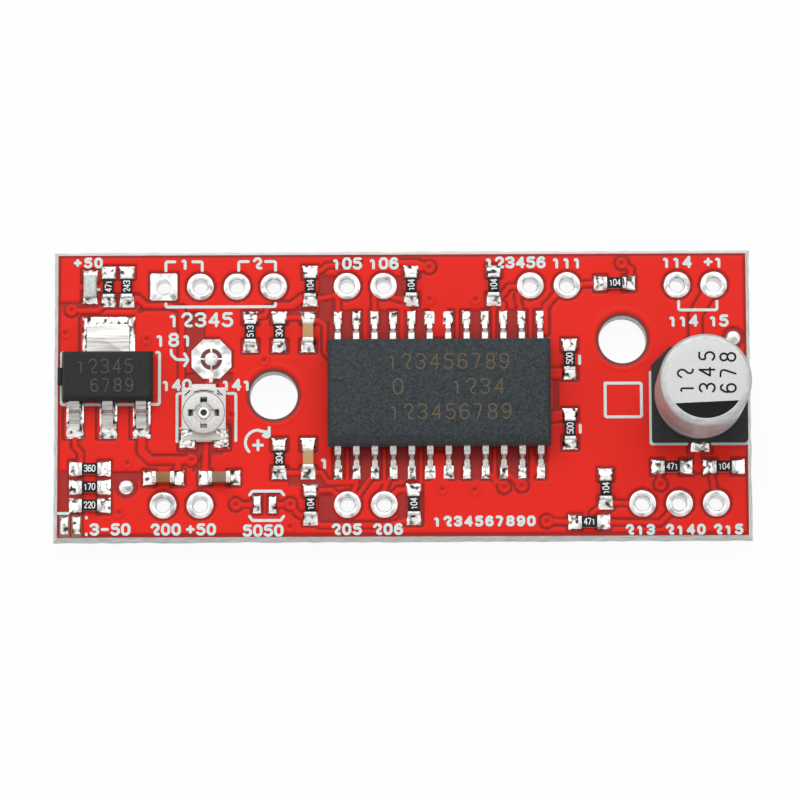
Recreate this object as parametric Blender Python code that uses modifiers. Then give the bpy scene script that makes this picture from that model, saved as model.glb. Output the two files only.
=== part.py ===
"""Stepper driver module: a small circuit board with a driver chip, a regulator, a capacitor and a trimmer.

The origin is at the centre of the board's underside. +X runs along the board, +Z points up, and the
parts stand on the board's upper face. The only moving piece is the trimmer's rotor, which turns about Z.
"""

import math

import bmesh
import bpy
from mathutils import Matrix, Vector

MM = 0.001
COLLECTION_NAME = "stepper_driver_module"
CUTTERS_NAME = "cutters"

# Fits
JOINT_GAP = 0.03 * MM  # a solder or glue film between two pieces
RUNNING_GAP = 0.04 * MM  # between the rotor and what it turns in
THROUGH = 1.0 * MM  # how far a cutter reaches past what it cuts
ROUND_STEPS = 32
SMALL_STEPS = 20

# Circuit board
BOARD_LENGTH = 48.26 * MM
BOARD_WIDTH = 20.32 * MM
BOARD_THICKNESS = 1.6 * MM
BOARD_SNAP_BEVEL = 0.3 * MM  # left by the score line that the board was snapped along
CIRCUIT_X = 2.54 * MM  # the header grid and the driver chip share this centre line

# Header holes, which sit on a grid numbered from the board's left
HEADER_PITCH = 2.54 * MM
HEADER_COLUMNS = 16
HEADER_INSET = 2.54 * MM  # from the long edges
HEADER_HOLE = 1.02 * MM
TOP_HOLES = (0, 1, 2, 3, 5, 6, 10, 11, 14, 15)
BOTTOM_HOLES = (0, 1, 5, 6, 13, 14, 15)

# Mounting holes, measured from the nearer short edge and from the board's long centre line
MOUNTING_HOLE = 3.3 * MM
LEFT_MOUNTING = (15.24 * MM, 0.0)
RIGHT_MOUNTING = (8.89 * MM, 3.81 * MM)

# Chip resistors and ceramic capacitors: length, width, height
RESISTOR_SIZE = (1.6 * MM, 0.8 * MM, 0.45 * MM)
CERAMIC_SIZE = (1.6 * MM, 0.8 * MM, 0.8 * MM)
CHIP_EDGE = 0.05 * MM

# Power light
LIGHT_CARRIER_SIZE = (1.6 * MM, 0.8 * MM, 0.24 * MM)
LIGHT_LENS_SIZE = (1.1 * MM, 0.76 * MM, 0.34 * MM)

# Driver chip
LEAD_PITCH = 1.27 * MM
LEADS_PER_SIDE = 12
LEAD_WIDTH = 0.42 * MM
LEAD_THICKNESS = 0.26 * MM
SHANK_LEAN = 0.35  # share of the way from knee to toe that the sloping shank takes up
GROUND_LEADS = (5, 6)  # the two middle leads of each side, counted from 0
DRIVER_SIDES = (("back", 1), ("front", -1))
DRIVER_END_MARGIN = 0.715 * MM  # from the last lead's centre to the package's end
DRIVER_WIDTH = 7.5 * MM
DRIVER_HEIGHT = 2.34 * MM
DRIVER_STANDOFF = 0.12 * MM
DRIVER_DRAFT = 0.2 * MM
DRIVER_PIN_ONE_BEVEL = 0.4 * MM
DRIVER_LEAD_RISE = 1.0 * MM  # the underside of the leads where they leave the package
DRIVER_LEAD_REACH = 1.4 * MM  # from the package's side to the toe
DRIVER_LEAD_KNEE = 0.63 * MM  # from the package's side to the bend
DRIVER_LEAD_BITE = 0.75 * MM  # how far a lead goes into the package
INDEX_MARK_RADIUS = 0.66 * MM
INDEX_MARK_DEPTH = 0.12 * MM
INDEX_MARK_INSET = 0.38 * MM  # from the package's end to the mark's centre
TIE_BAR_WIDTH = 0.3 * MM
TIE_BAR_THICKNESS = 0.16 * MM
DRIVER_PADDLE = (5.2 * MM, 3.6 * MM, 0.2 * MM)
DRIVER_DIE = (3.6 * MM, 2.6 * MM, 0.32 * MM)

# Voltage regulator
REGULATOR_SIZE = (6.5 * MM, 3.5 * MM, 1.6 * MM)
REGULATOR_STANDOFF = 0.08 * MM
REGULATOR_DRAFT = 0.22 * MM
REGULATOR_LEAD_PITCH = 2.3 * MM
REGULATOR_LEAD_WIDTH = 0.72 * MM
REGULATOR_LEAD_REACH = 1.8 * MM
REGULATOR_LEAD_KNEE = 0.63 * MM
REGULATOR_LEAD_RISE = 0.62 * MM
REGULATOR_TAB_WIDTH = 3.0 * MM
REGULATOR_LEAD_BITE = 0.6 * MM
REGULATOR_PADDLE = (2.7 * MM, 1.9 * MM, 0.32 * MM)
REGULATOR_DIE = (1.6 * MM, 1.2 * MM, 0.22 * MM)
GATE_SIZE = (0.2 * MM, 1.3 * MM, 0.25 * MM)  # the stub left by the mould's gate

# Electrolytic capacitor
CAN_DIAMETER = 6.3 * MM
CAN_TOP = 7.7 * MM  # above the board's upper face
CAN_WALL = 0.25 * MM
CAN_SHOULDER = 0.35 * MM
CAN_BEAD_HEIGHT = 1.35 * MM  # from the can's mouth to the middle of the rolled bead
CAN_BEAD_DEPTH = 0.22 * MM
CAN_BEAD_HALF = 0.3 * MM
CAP_BASE_MARGIN = 0.15 * MM  # base beyond the can, on each side
CAP_BASE_THICKNESS = 0.9 * MM
CAP_BASE_CORNER = 1.25 * MM  # cut off the two corners at the positive lead
CAP_CUP_DEPTH = 0.3 * MM
SEAL_THICKNESS = 1.0 * MM
WINDING_CLEARANCE = 0.25 * MM
WINDING_HEADROOM = 0.5 * MM
CAP_LEAD_PITCH = 1.9 * MM
CAP_LEAD_DIAMETER = 0.5 * MM
CAP_BLADE_WIDTH = 0.65 * MM
CAP_BLADE_THICKNESS = 0.22 * MM
CAP_BLADE_OVERHANG = 0.55 * MM  # blade beyond the base

# Current trimmer
ROTOR_RADIUS = 1.44 * MM
ROTOR_THICKNESS = 0.5 * MM
ROTOR_EDGE = 0.12 * MM
ROTOR_BORE = 0.68 * MM
ROTOR_DISH_RADIUS = 0.62 * MM
ROTOR_DISH_DEPTH = 0.22 * MM
ROTOR_SLOT_LENGTH = 2.08 * MM
ROTOR_SLOT_WIDTH = 0.46 * MM
ROTOR_SLOT_DEPTH = 0.32 * MM
ROTOR_TRAVEL = math.radians(130)  # each way from rest
ROTOR_RIM = 0.2 * MM  # metal outside the stop groove in the rotor's underside
STOP_GROOVE_WIDTH = 0.4 * MM
STOP_GROOVE_DEPTH = 0.14 * MM
WIPER_HALF_ANGLE = math.radians(12)
STOP_SPARE_ANGLE = math.radians(2)
TRIMMER_SIDE_MARGIN = 0.08 * MM  # base beyond the rotor, left and right
TRIMMER_FRONT_MARGIN = 0.4 * MM  # base beyond the rotor, at the end terminals
TRIMMER_BACK_MARGIN = 0.28 * MM  # base beyond the rotor, at the wiper terminal
TRIMMER_BASE_THICKNESS = 0.38 * MM
TRIMMER_SHEET = 0.1 * MM  # thickness of its stamped clips
WIPER_PLATE_THICKNESS = 0.12 * MM
EYELET_PAD_MARGIN = 0.2 * MM  # metal left round the eyelet's hole in the wiper terminal's strip
TRIMMER_HORN_END = 0.45 * MM  # from the axis to where the wiper plate's horns end
TRIMMER_TAB_WIDTH = 1.64 * MM
END_TERMINAL_WIDTH = 0.9 * MM
END_TERMINAL_LIP = 0.3 * MM
TRACK_THICKNESS = 0.04 * MM
EYELET_SHANK = 0.52 * MM
EYELET_FLANGE = 0.9 * MM
EYELET_HOLE = 0.3 * MM
EYELET_FLANGE_THICKNESS = 0.08 * MM

# Where things stand on the board. An edge distance runs from the edge that the name says.
REGULATOR_FROM_LEFT = 3.81 * MM
REGULATOR_Y = 1.25 * MM
TRIMMER_FROM_LEFT = 10.45 * MM
TRIMMER_Y = -1.33 * MM
CAP_EDGE_GAP = 0.33 * MM  # from the capacitor's base to the board's right edge
CAP_Y = -0.12 * MM

BOARD_TOP = BOARD_THICKNESS
DRIVER_LENGTH = (LEADS_PER_SIDE - 1) * LEAD_PITCH + 2 * DRIVER_END_MARGIN
STOP_GROOVE_OUTER = ROTOR_RADIUS - ROTOR_RIM
STOP_GROOVE_INNER = STOP_GROOVE_OUTER - STOP_GROOVE_WIDTH
TRIMMER_FRONT = ROTOR_RADIUS + TRIMMER_FRONT_MARGIN
TRIMMER_BACK = ROTOR_RADIUS + TRIMMER_BACK_MARGIN
TRIMMER_WIDTH = 2 * (ROTOR_RADIUS + TRIMMER_SIDE_MARGIN)
LEFT = -BOARD_LENGTH / 2
RIGHT = BOARD_LENGTH / 2
TOP = BOARD_WIDTH / 2
BOTTOM = -BOARD_WIDTH / 2


def clear_scene():
    for existing in list(bpy.data.objects):
        bpy.data.objects.remove(existing, do_unlink=True)


def new_collection(name, hidden=False):
    collection = bpy.data.collections.new(name)
    bpy.context.scene.collection.children.link(collection)
    collection.hide_render = hidden
    return collection


def material(name, colour, roughness, metallic=0.0):
    made = bpy.data.materials.new(name)
    made.use_nodes = True
    shader = made.node_tree.nodes["Principled BSDF"]
    shader.inputs["Base Color"].default_value = (*colour, 1.0)
    shader.inputs["Roughness"].default_value = roughness
    shader.inputs["Metallic"].default_value = metallic
    return made


clear_scene()
PARTS = new_collection(COLLECTION_NAME)
CUTTERS = new_collection(CUTTERS_NAME, hidden=True)

RED_MASK = material("red_solder_mask", (0.79, 0.03, 0.025), 0.35)
MOULDING = material("black_moulding_compound", (0.045, 0.05, 0.055), 0.55)
TIN = material("tinned_metal", (0.78, 0.78, 0.77), 0.3, 1.0)
ALUMINIUM = material("aluminium", (0.75, 0.75, 0.75), 0.35, 1.0)
BLACK_PLASTIC = material("black_plastic", (0.02, 0.02, 0.02), 0.5)
RUBBER = material("rubber", (0.02, 0.02, 0.02), 0.8)
FOIL = material("wound_foil", (0.5, 0.48, 0.42), 0.6)
SILICON = material("silicon", (0.12, 0.12, 0.14), 0.2)
CERAMIC = material("alumina", (0.85, 0.85, 0.82), 0.6)
CARBON = material("carbon_track", (0.03, 0.03, 0.03), 0.7)
RESISTOR_BLACK = material("resistor_overcoat", (0.02, 0.02, 0.02), 0.4)
TAN_CERAMIC = material("tan_ceramic", (0.6, 0.42, 0.25), 0.5)
BROWN_CERAMIC = material("brown_ceramic", (0.3, 0.14, 0.08), 0.5)
CLEAR_RESIN = material("clear_resin", (0.85, 0.87, 0.8), 0.2)


def add_piece(name, mesh, at, finish, smooth=False):
    """A visible piece, with its origin at the given place."""
    piece = bpy.data.objects.new(name, mesh)
    PARTS.objects.link(piece)
    piece.location = at
    mesh.materials.append(finish)
    if smooth:
        mesh.shade_smooth()
        mesh.set_sharp_from_angle(angle=math.radians(35))
    return piece


def add_cutter(name, mesh, at=(0, 0, 0)):
    """A helper that a Boolean uses, which is no part of the module."""
    cutter = bpy.data.objects.new(name, mesh)
    CUTTERS.objects.link(cutter)
    cutter.location = at
    cutter.hide_render = True
    cutter.display_type = "WIRE"
    return cutter


def boolean(piece, other, operation="DIFFERENCE"):
    modifier = piece.modifiers.new(other.name, "BOOLEAN")
    modifier.operation = operation
    modifier.solver = "EXACT"
    modifier.object = other


def mesh_from(shape, name):
    mesh = bpy.data.meshes.new(name)
    bmesh.ops.recalc_face_normals(shape, faces=shape.faces)
    shape.to_mesh(mesh)
    shape.free()
    return mesh


def block_mesh(name, size):
    """A block that is centred in plan and stands on Z = 0."""
    shape = bmesh.new()
    place = Matrix.Translation((0, 0, size[2] / 2)) @ Matrix.Diagonal((*size, 1))
    bmesh.ops.create_cube(shape, size=1, matrix=place)
    return mesh_from(shape, name)


def bevelled_block(name, size, at, finish, edge):
    piece = add_piece(name, block_mesh(name, size), at, finish)
    bevel = piece.modifiers.new("edges", "BEVEL")
    bevel.width = edge
    bevel.segments = 1
    return piece


def drafted_mesh(name, size, parting, draft, bevelled_side=0.0):
    """A moulded package: widest at its parting line, with its lower long top edge bevelled on request."""
    shape = bmesh.new()
    place = Matrix.Translation((0, 0, size[2] / 2)) @ Matrix.Diagonal((*size, 1))
    bmesh.ops.create_cube(shape, size=1, matrix=place)
    everything = shape.verts[:] + shape.edges[:] + shape.faces[:]
    bmesh.ops.bisect_plane(shape, geom=everything, plane_co=(0, 0, parting), plane_no=(0, 0, 1))
    for corner in shape.verts:
        if abs(corner.co.z - parting) > draft / 100:
            corner.co.x -= math.copysign(draft, corner.co.x)
            corner.co.y -= math.copysign(draft, corner.co.y)
    if bevelled_side:
        top_edge = [
            edge
            for edge in shape.edges
            if all(end.co.y < 0 and end.co.z > size[2] - draft / 100 for end in edge.verts)
        ]
        bmesh.ops.bevel(shape, geom=top_edge, offset=bevelled_side, segments=1, affect="EDGES")
    return mesh_from(shape, name)


def cylinder_mesh(name, diameter, bottom, top, steps=ROUND_STEPS):
    shape = bmesh.new()
    place = Matrix.Translation((0, 0, (bottom + top) / 2))
    bmesh.ops.create_cone(
        shape,
        cap_ends=True,
        segments=steps,
        radius1=diameter / 2,
        radius2=diameter / 2,
        depth=top - bottom,
        matrix=place,
    )
    return mesh_from(shape, name)


def outline_mesh(name, points, thickness):
    """A flat outline in XY, thickened both ways along Z, as a closed mesh."""
    curve = bpy.data.curves.new(name, "CURVE")
    curve.dimensions = "2D"
    curve.fill_mode = "BOTH"
    curve.extrude = thickness / 2
    spline = curve.splines.new("POLY")
    spline.points.add(len(points) - 1)
    for point, (x, y) in zip(spline.points, points):
        point.co = (x, y, 0, 1)
    spline.use_cyclic_u = True
    guide = bpy.data.objects.new(name, curve)
    bpy.context.scene.collection.objects.link(guide)
    graph = bpy.context.evaluated_depsgraph_get()
    mesh = bpy.data.meshes.new_from_object(guide.evaluated_get(graph))
    bpy.data.objects.remove(guide)
    bpy.data.curves.remove(curve)
    shape = bmesh.new()
    shape.from_mesh(mesh)
    bmesh.ops.remove_doubles(shape, verts=shape.verts, dist=MM / 1000)
    bpy.data.meshes.remove(mesh)
    return mesh_from(shape, name)


def turned_piece(name, profile, at, finish, steps=ROUND_STEPS, closed=False):
    """A profile of (radius, height) points, turned about Z."""
    mesh = bpy.data.meshes.new(name)
    links = [(i, i + 1) for i in range(len(profile) - 1)]
    if closed:
        links.append((len(profile) - 1, 0))
    mesh.from_pydata([(radius, 0, height) for radius, height in profile], links, [])
    piece = add_piece(name, mesh, at, finish)
    screw = piece.modifiers.new("turn", "SCREW")
    screw.steps = steps
    screw.render_steps = steps
    screw.use_merge_vertices = True
    screw.merge_threshold = MM / 10000
    return piece


def sector_mesh(name, inner, outer, start, end, thickness, steps=ROUND_STEPS):
    """A ring sector that stands on Z = 0. Angles run anticlockwise from +Y."""
    count = max(2, math.ceil(steps * (end - start) / math.tau))
    angles = [start + (end - start) * i / count for i in range(count + 1)]
    outside = [(-outer * math.sin(a), outer * math.cos(a)) for a in angles]
    inside = [(-inner * math.sin(a), inner * math.cos(a)) for a in reversed(angles)]
    mesh = outline_mesh(name, outside + inside, thickness)
    mesh.transform(Matrix.Translation((0, 0, thickness / 2)))
    return mesh


def gull_wing_mesh(name, inner, knee, toe, rise, thickness, width):
    """A formed lead that runs towards +Y, from inside a package, over a knee, down to a foot on Z = 0."""
    run = (toe - knee) * SHANK_LEAN
    outline = [
        (inner, rise),
        (inner, rise + thickness),
        (knee, rise + thickness),
        (knee + run + thickness / 2, thickness),
        (toe, thickness),
        (toe, 0),
        (knee + run - thickness / 2, 0),
        (knee - thickness, rise),
    ]
    mesh = outline_mesh(name, outline, width)
    mesh.transform(Matrix(((0, 0, 1, 0), (1, 0, 0, 0), (0, 1, 0, 0), (0, 0, 0, 1))))
    return mesh


def facing(side):
    """Turns a piece that points to +Y so that it points to the given side, 1 or -1."""
    return Matrix.Rotation(0 if side > 0 else math.pi, 4, "Z")


# --- Circuit board ---


def header_x(column):
    """The centre of a column of the header grid."""
    return CIRCUIT_X + (column - (HEADER_COLUMNS - 1) / 2) * HEADER_PITCH


def board_holes():
    """Every hole through the board, as a place and a diameter."""
    holes = [(header_x(column), TOP - HEADER_INSET, HEADER_HOLE) for column in TOP_HOLES]
    holes += [(header_x(column), BOTTOM + HEADER_INSET, HEADER_HOLE) for column in BOTTOM_HOLES]
    holes.append((LEFT + LEFT_MOUNTING[0], LEFT_MOUNTING[1], MOUNTING_HOLE))
    holes.append((RIGHT - RIGHT_MOUNTING[0], RIGHT_MOUNTING[1], MOUNTING_HOLE))
    return holes


def circuit_board():
    shape = bmesh.new()
    size = (BOARD_LENGTH, BOARD_WIDTH, BOARD_THICKNESS)
    place = Matrix.Translation((0, 0, BOARD_THICKNESS / 2)) @ Matrix.Diagonal((*size, 1))
    bmesh.ops.create_cube(shape, size=1, matrix=place)
    rims = [edge for edge in shape.edges if abs(edge.verts[0].co.z - edge.verts[1].co.z) < MM / 1000]
    bmesh.ops.bevel(shape, geom=rims, offset=BOARD_SNAP_BEVEL, segments=1, affect="EDGES")
    board = add_piece("circuit_board", mesh_from(shape, "circuit_board"), (0, 0, 0), RED_MASK)
    for number, (x, y, diameter) in enumerate(board_holes()):
        steps = ROUND_STEPS if diameter > HEADER_HOLE else SMALL_STEPS
        drill = cylinder_mesh(f"drill_{number}", diameter, -THROUGH, BOARD_THICKNESS + THROUGH, steps)
        boolean(board, add_cutter(f"drill_{number}", drill, (x, y, 0)))


# --- Chip resistors, ceramic capacitors and the power light ---


def chip_places():
    """Name, kind, centre and turn of each two-ended chip part. A turn of 0 lies along X."""
    along = 0.0
    across = math.pi / 2
    driver_side = 4.42 * MM
    driver_left = CIRCUIT_X - DRIVER_LENGTH / 2
    driver_right = CIRCUIT_X + DRIVER_LENGTH / 2
    sense_side = 2.43 * MM
    top_row = TOP - HEADER_INSET
    bottom_row = BOTTOM + HEADER_INSET
    bias_x = LEFT + 2.58 * MM
    bias_pitch = 1.27 * MM
    sense_x = driver_right + 1.31 * MM
    places = [
        ("light_resistor", "resistor", LEFT + 3.81 * MM, top_row, across),
        ("regulator_feedback_resistor", "resistor", LEFT + 5.08 * MM, top_row, across),
        ("enable_pull_resistor", "resistor", header_x(4), top_row, across),
        ("reset_pull_resistor", "resistor", header_x(6.75), top_row, across),
        ("sleep_pull_resistor", "resistor", header_x(9), top_row, across),
        ("step_series_resistor", "resistor", header_x(12.3), top_row + 0.12 * MM, along),
        ("driver_timing_resistor_a", "resistor", driver_left - 5.34 * MM, driver_side, across),
        ("reference_resistor", "resistor", driver_left - 3.34 * MM, driver_side, across),
        ("driver_timing_capacitor_a", "tan", driver_left - 1.34 * MM, driver_side, across),
        ("driver_timing_resistor_b", "resistor", driver_left - 3.34 * MM, -driver_side, across),
        ("driver_timing_capacitor_b", "tan", driver_left - 1.34 * MM, -driver_side, across),
        ("sense_resistor_a", "resistor", sense_x, sense_side, across),
        ("sense_resistor_b", "resistor", sense_x, -sense_side, across),
        ("direction_series_resistor", "resistor", RIGHT - 5.57 * MM, -5.1 * MM, along),
        ("mode_pull_resistor_a", "resistor", RIGHT - 2.0 * MM, -5.1 * MM, along),
        ("mode_pull_resistor_b", "resistor", header_x(12), bottom_row + 1.02 * MM, across),
        ("mode_pull_resistor_c", "resistor", header_x(11.55), bottom_row - 1.28 * MM, along),
        ("supply_filter_capacitor", "brown", LEFT + 7.65 * MM, bottom_row + 1.89 * MM, along),
        ("logic_filter_capacitor", "brown", LEFT + 11.5 * MM, bottom_row + 1.89 * MM, along),
        ("step_pull_resistor", "resistor", header_x(4), bottom_row, across),
        ("direction_pull_resistor", "resistor", header_x(6.8), bottom_row, across),
    ]
    for number in range(3):
        name = f"bias_resistor_{number + 1}"
        places.append((name, "resistor", bias_x, bottom_row + number * bias_pitch, along))
    return places


def chip_parts():
    kinds = {
        "resistor": (RESISTOR_SIZE, RESISTOR_BLACK),
        "tan": (CERAMIC_SIZE, TAN_CERAMIC),
        "brown": (CERAMIC_SIZE, BROWN_CERAMIC),
    }
    for name, kind, x, y, turn in chip_places():
        size, finish = kinds[kind]
        piece = bevelled_block(name, size, (x, y, BOARD_TOP + JOINT_GAP), finish, CHIP_EDGE)
        piece.rotation_euler.z = turn


def power_light():
    """A small lamp: a flat carrier with a clear lens cast on it."""
    x = LEFT + 2.54 * MM
    y = TOP - HEADER_INSET
    floor = BOARD_TOP + JOINT_GAP
    carrier = bevelled_block("light_carrier", LIGHT_CARRIER_SIZE, (x, y, floor), CERAMIC, CHIP_EDGE)
    lens_floor = floor + LIGHT_CARRIER_SIZE[2] + JOINT_GAP
    lens = bevelled_block("light_lens", LIGHT_LENS_SIZE, (x, y, lens_floor), CLEAR_RESIN, CHIP_EDGE)
    for piece in (carrier, lens):
        piece.rotation_euler.z = math.pi / 2


# --- Driver chip ---


def driver_lead_x(number):
    """A lead's place along the package, counted from the left."""
    return (number - (LEADS_PER_SIDE - 1) / 2) * LEAD_PITCH


def driver_lead_mesh(name, number, side, inner):
    """One lead in its place along the package, reaching in as far as inner from the centre line."""
    half = DRIVER_WIDTH / 2
    toe = half + DRIVER_LEAD_REACH
    knee = half + DRIVER_LEAD_KNEE
    rise = DRIVER_LEAD_RISE - JOINT_GAP
    lead = gull_wing_mesh(name, inner, knee, toe, rise, LEAD_THICKNESS, LEAD_WIDTH)
    lead.transform(Matrix.Translation((driver_lead_x(number), 0, 0)) @ facing(side))
    return lead


def lead_inner(number):
    """Where a lead ends inside the package: a ground lead runs on into the paddle."""
    if number in GROUND_LEADS:
        return DRIVER_PADDLE[1] / 2 - LEAD_THICKNESS
    return DRIVER_WIDTH / 2 - DRIVER_LEAD_BITE


def driver_place():
    return Vector((CIRCUIT_X, 0, BOARD_TOP + JOINT_GAP))


def driver_lead_group(name, side, numbers):
    """Five neighbouring leads of one side, held in line by a strip inside the package."""
    first = driver_lead_x(numbers[0])
    last = driver_lead_x(numbers[-1])
    strip_y = side * (DRIVER_WIDTH / 2 - DRIVER_LEAD_BITE + TIE_BAR_WIDTH / 2 + JOINT_GAP)
    strip_z = DRIVER_LEAD_RISE - JOINT_GAP + (LEAD_THICKNESS - TIE_BAR_THICKNESS) / 2
    strip = block_mesh(name, (last - first, TIE_BAR_WIDTH, TIE_BAR_THICKNESS))
    strip.transform(Matrix.Translation(((first + last) / 2, strip_y, strip_z)))
    group = add_piece(name, strip, driver_place(), TIN)
    for number in numbers:
        lead = driver_lead_mesh(f"{name}_{number}", number, side, lead_inner(number))
        boolean(group, add_cutter(f"{name}_{number}", lead, driver_place()), "UNION")


def driver_ground_frame():
    """The die's paddle with the two middle leads of both sides."""
    name = "driver_ground_frame"
    paddle_z = DRIVER_LEAD_RISE - JOINT_GAP + (LEAD_THICKNESS - DRIVER_PADDLE[2]) / 2
    paddle = block_mesh(name, DRIVER_PADDLE)
    paddle.transform(Matrix.Translation((0, 0, paddle_z)))
    frame = add_piece(name, paddle, driver_place(), TIN)
    for word, side in DRIVER_SIDES:
        for number in GROUND_LEADS:
            label = f"ground_lead_{word}_{number}"
            lead = driver_lead_mesh(label, number, side, lead_inner(number))
            boolean(frame, add_cutter(label, lead, driver_place()), "UNION")


def driver_die():
    size = DRIVER_DIE
    floor = DRIVER_LEAD_RISE - JOINT_GAP + (LEAD_THICKNESS + DRIVER_PADDLE[2]) / 2 + JOINT_GAP
    place = driver_place() + Vector((0, 0, floor))
    add_piece("driver_die", block_mesh("driver_die", size), place, SILICON)


def pocket(name, size, centre, place):
    """A cutter that leaves the joint gap all round a block of this size, centred in plan and in height."""
    grown = [side + 2 * JOINT_GAP for side in size]
    mesh = block_mesh(name, grown)
    mesh.transform(Matrix.Translation(Vector(centre) - Vector((0, 0, grown[2] / 2))))
    return add_cutter(name, mesh, place)


def driver_package():
    name = "driver_package"
    size = (DRIVER_LENGTH, DRIVER_WIDTH, DRIVER_HEIGHT)
    lead_middle = DRIVER_LEAD_RISE - JOINT_GAP + LEAD_THICKNESS / 2
    parting = lead_middle - DRIVER_STANDOFF
    mesh = drafted_mesh(name, size, parting, DRIVER_DRAFT, DRIVER_PIN_ONE_BEVEL)
    mesh.transform(Matrix.Translation((0, 0, DRIVER_STANDOFF)))
    package = add_piece(name, mesh, driver_place(), MOULDING)

    mark = cylinder_mesh("index_mark", 2 * INDEX_MARK_RADIUS, -INDEX_MARK_DEPTH, THROUGH, SMALL_STEPS)
    mark_place = driver_place() + Vector(
        (-DRIVER_LENGTH / 2 + DRIVER_DRAFT + INDEX_MARK_INSET, 0, DRIVER_STANDOFF + DRIVER_HEIGHT)
    )
    boolean(package, add_cutter("index_mark", mark, mark_place))

    place = driver_place()
    half = DRIVER_WIDTH / 2
    for word, side in DRIVER_SIDES:
        for number in range(LEADS_PER_SIDE):
            inner = lead_inner(number)
            reach = half + THROUGH - inner
            centre = (driver_lead_x(number), side * (inner + reach / 2), lead_middle)
            size = (LEAD_WIDTH, reach, LEAD_THICKNESS)
            boolean(package, pocket(f"lead_pocket_{word}_{number}", size, centre, place))
        for group, numbers in enumerate(lead_groups()):
            first = driver_lead_x(numbers[0])
            last = driver_lead_x(numbers[-1])
            strip_y = side * (half - DRIVER_LEAD_BITE + TIE_BAR_WIDTH / 2 + JOINT_GAP)
            size = (last - first, TIE_BAR_WIDTH, TIE_BAR_THICKNESS)
            centre = ((first + last) / 2, strip_y, lead_middle)
            boolean(package, pocket(f"strip_pocket_{word}_{group}", size, centre, place))
    boolean(package, pocket("paddle_pocket", DRIVER_PADDLE, (0, 0, lead_middle), place))
    die_middle = lead_middle + (DRIVER_PADDLE[2] + DRIVER_DIE[2]) / 2 + JOINT_GAP
    boolean(package, pocket("die_pocket", DRIVER_DIE, (0, 0, die_middle), place))


def lead_groups():
    """The signal leads of one side, as the runs before and after the ground leads."""
    return (range(0, GROUND_LEADS[0]), range(GROUND_LEADS[-1] + 1, LEADS_PER_SIDE))


def driver_chip():
    driver_package()
    driver_die()
    driver_ground_frame()
    before, after = lead_groups()
    driver_lead_group("driver_leads_1_to_5", -1, before)
    driver_lead_group("driver_leads_8_to_12", -1, after)
    driver_lead_group("driver_leads_13_to_17", 1, after)
    driver_lead_group("driver_leads_20_to_24", 1, before)


# --- Voltage regulator ---


def regulator_lead(name, side, width):
    half = REGULATOR_SIZE[1] / 2
    inner = half - REGULATOR_LEAD_BITE
    knee = half + REGULATOR_LEAD_KNEE
    toe = half + REGULATOR_LEAD_REACH
    rise = REGULATOR_LEAD_RISE - JOINT_GAP
    lead = gull_wing_mesh(name, inner, knee, toe, rise, LEAD_THICKNESS, width)
    lead.transform(facing(side))
    return lead


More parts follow.
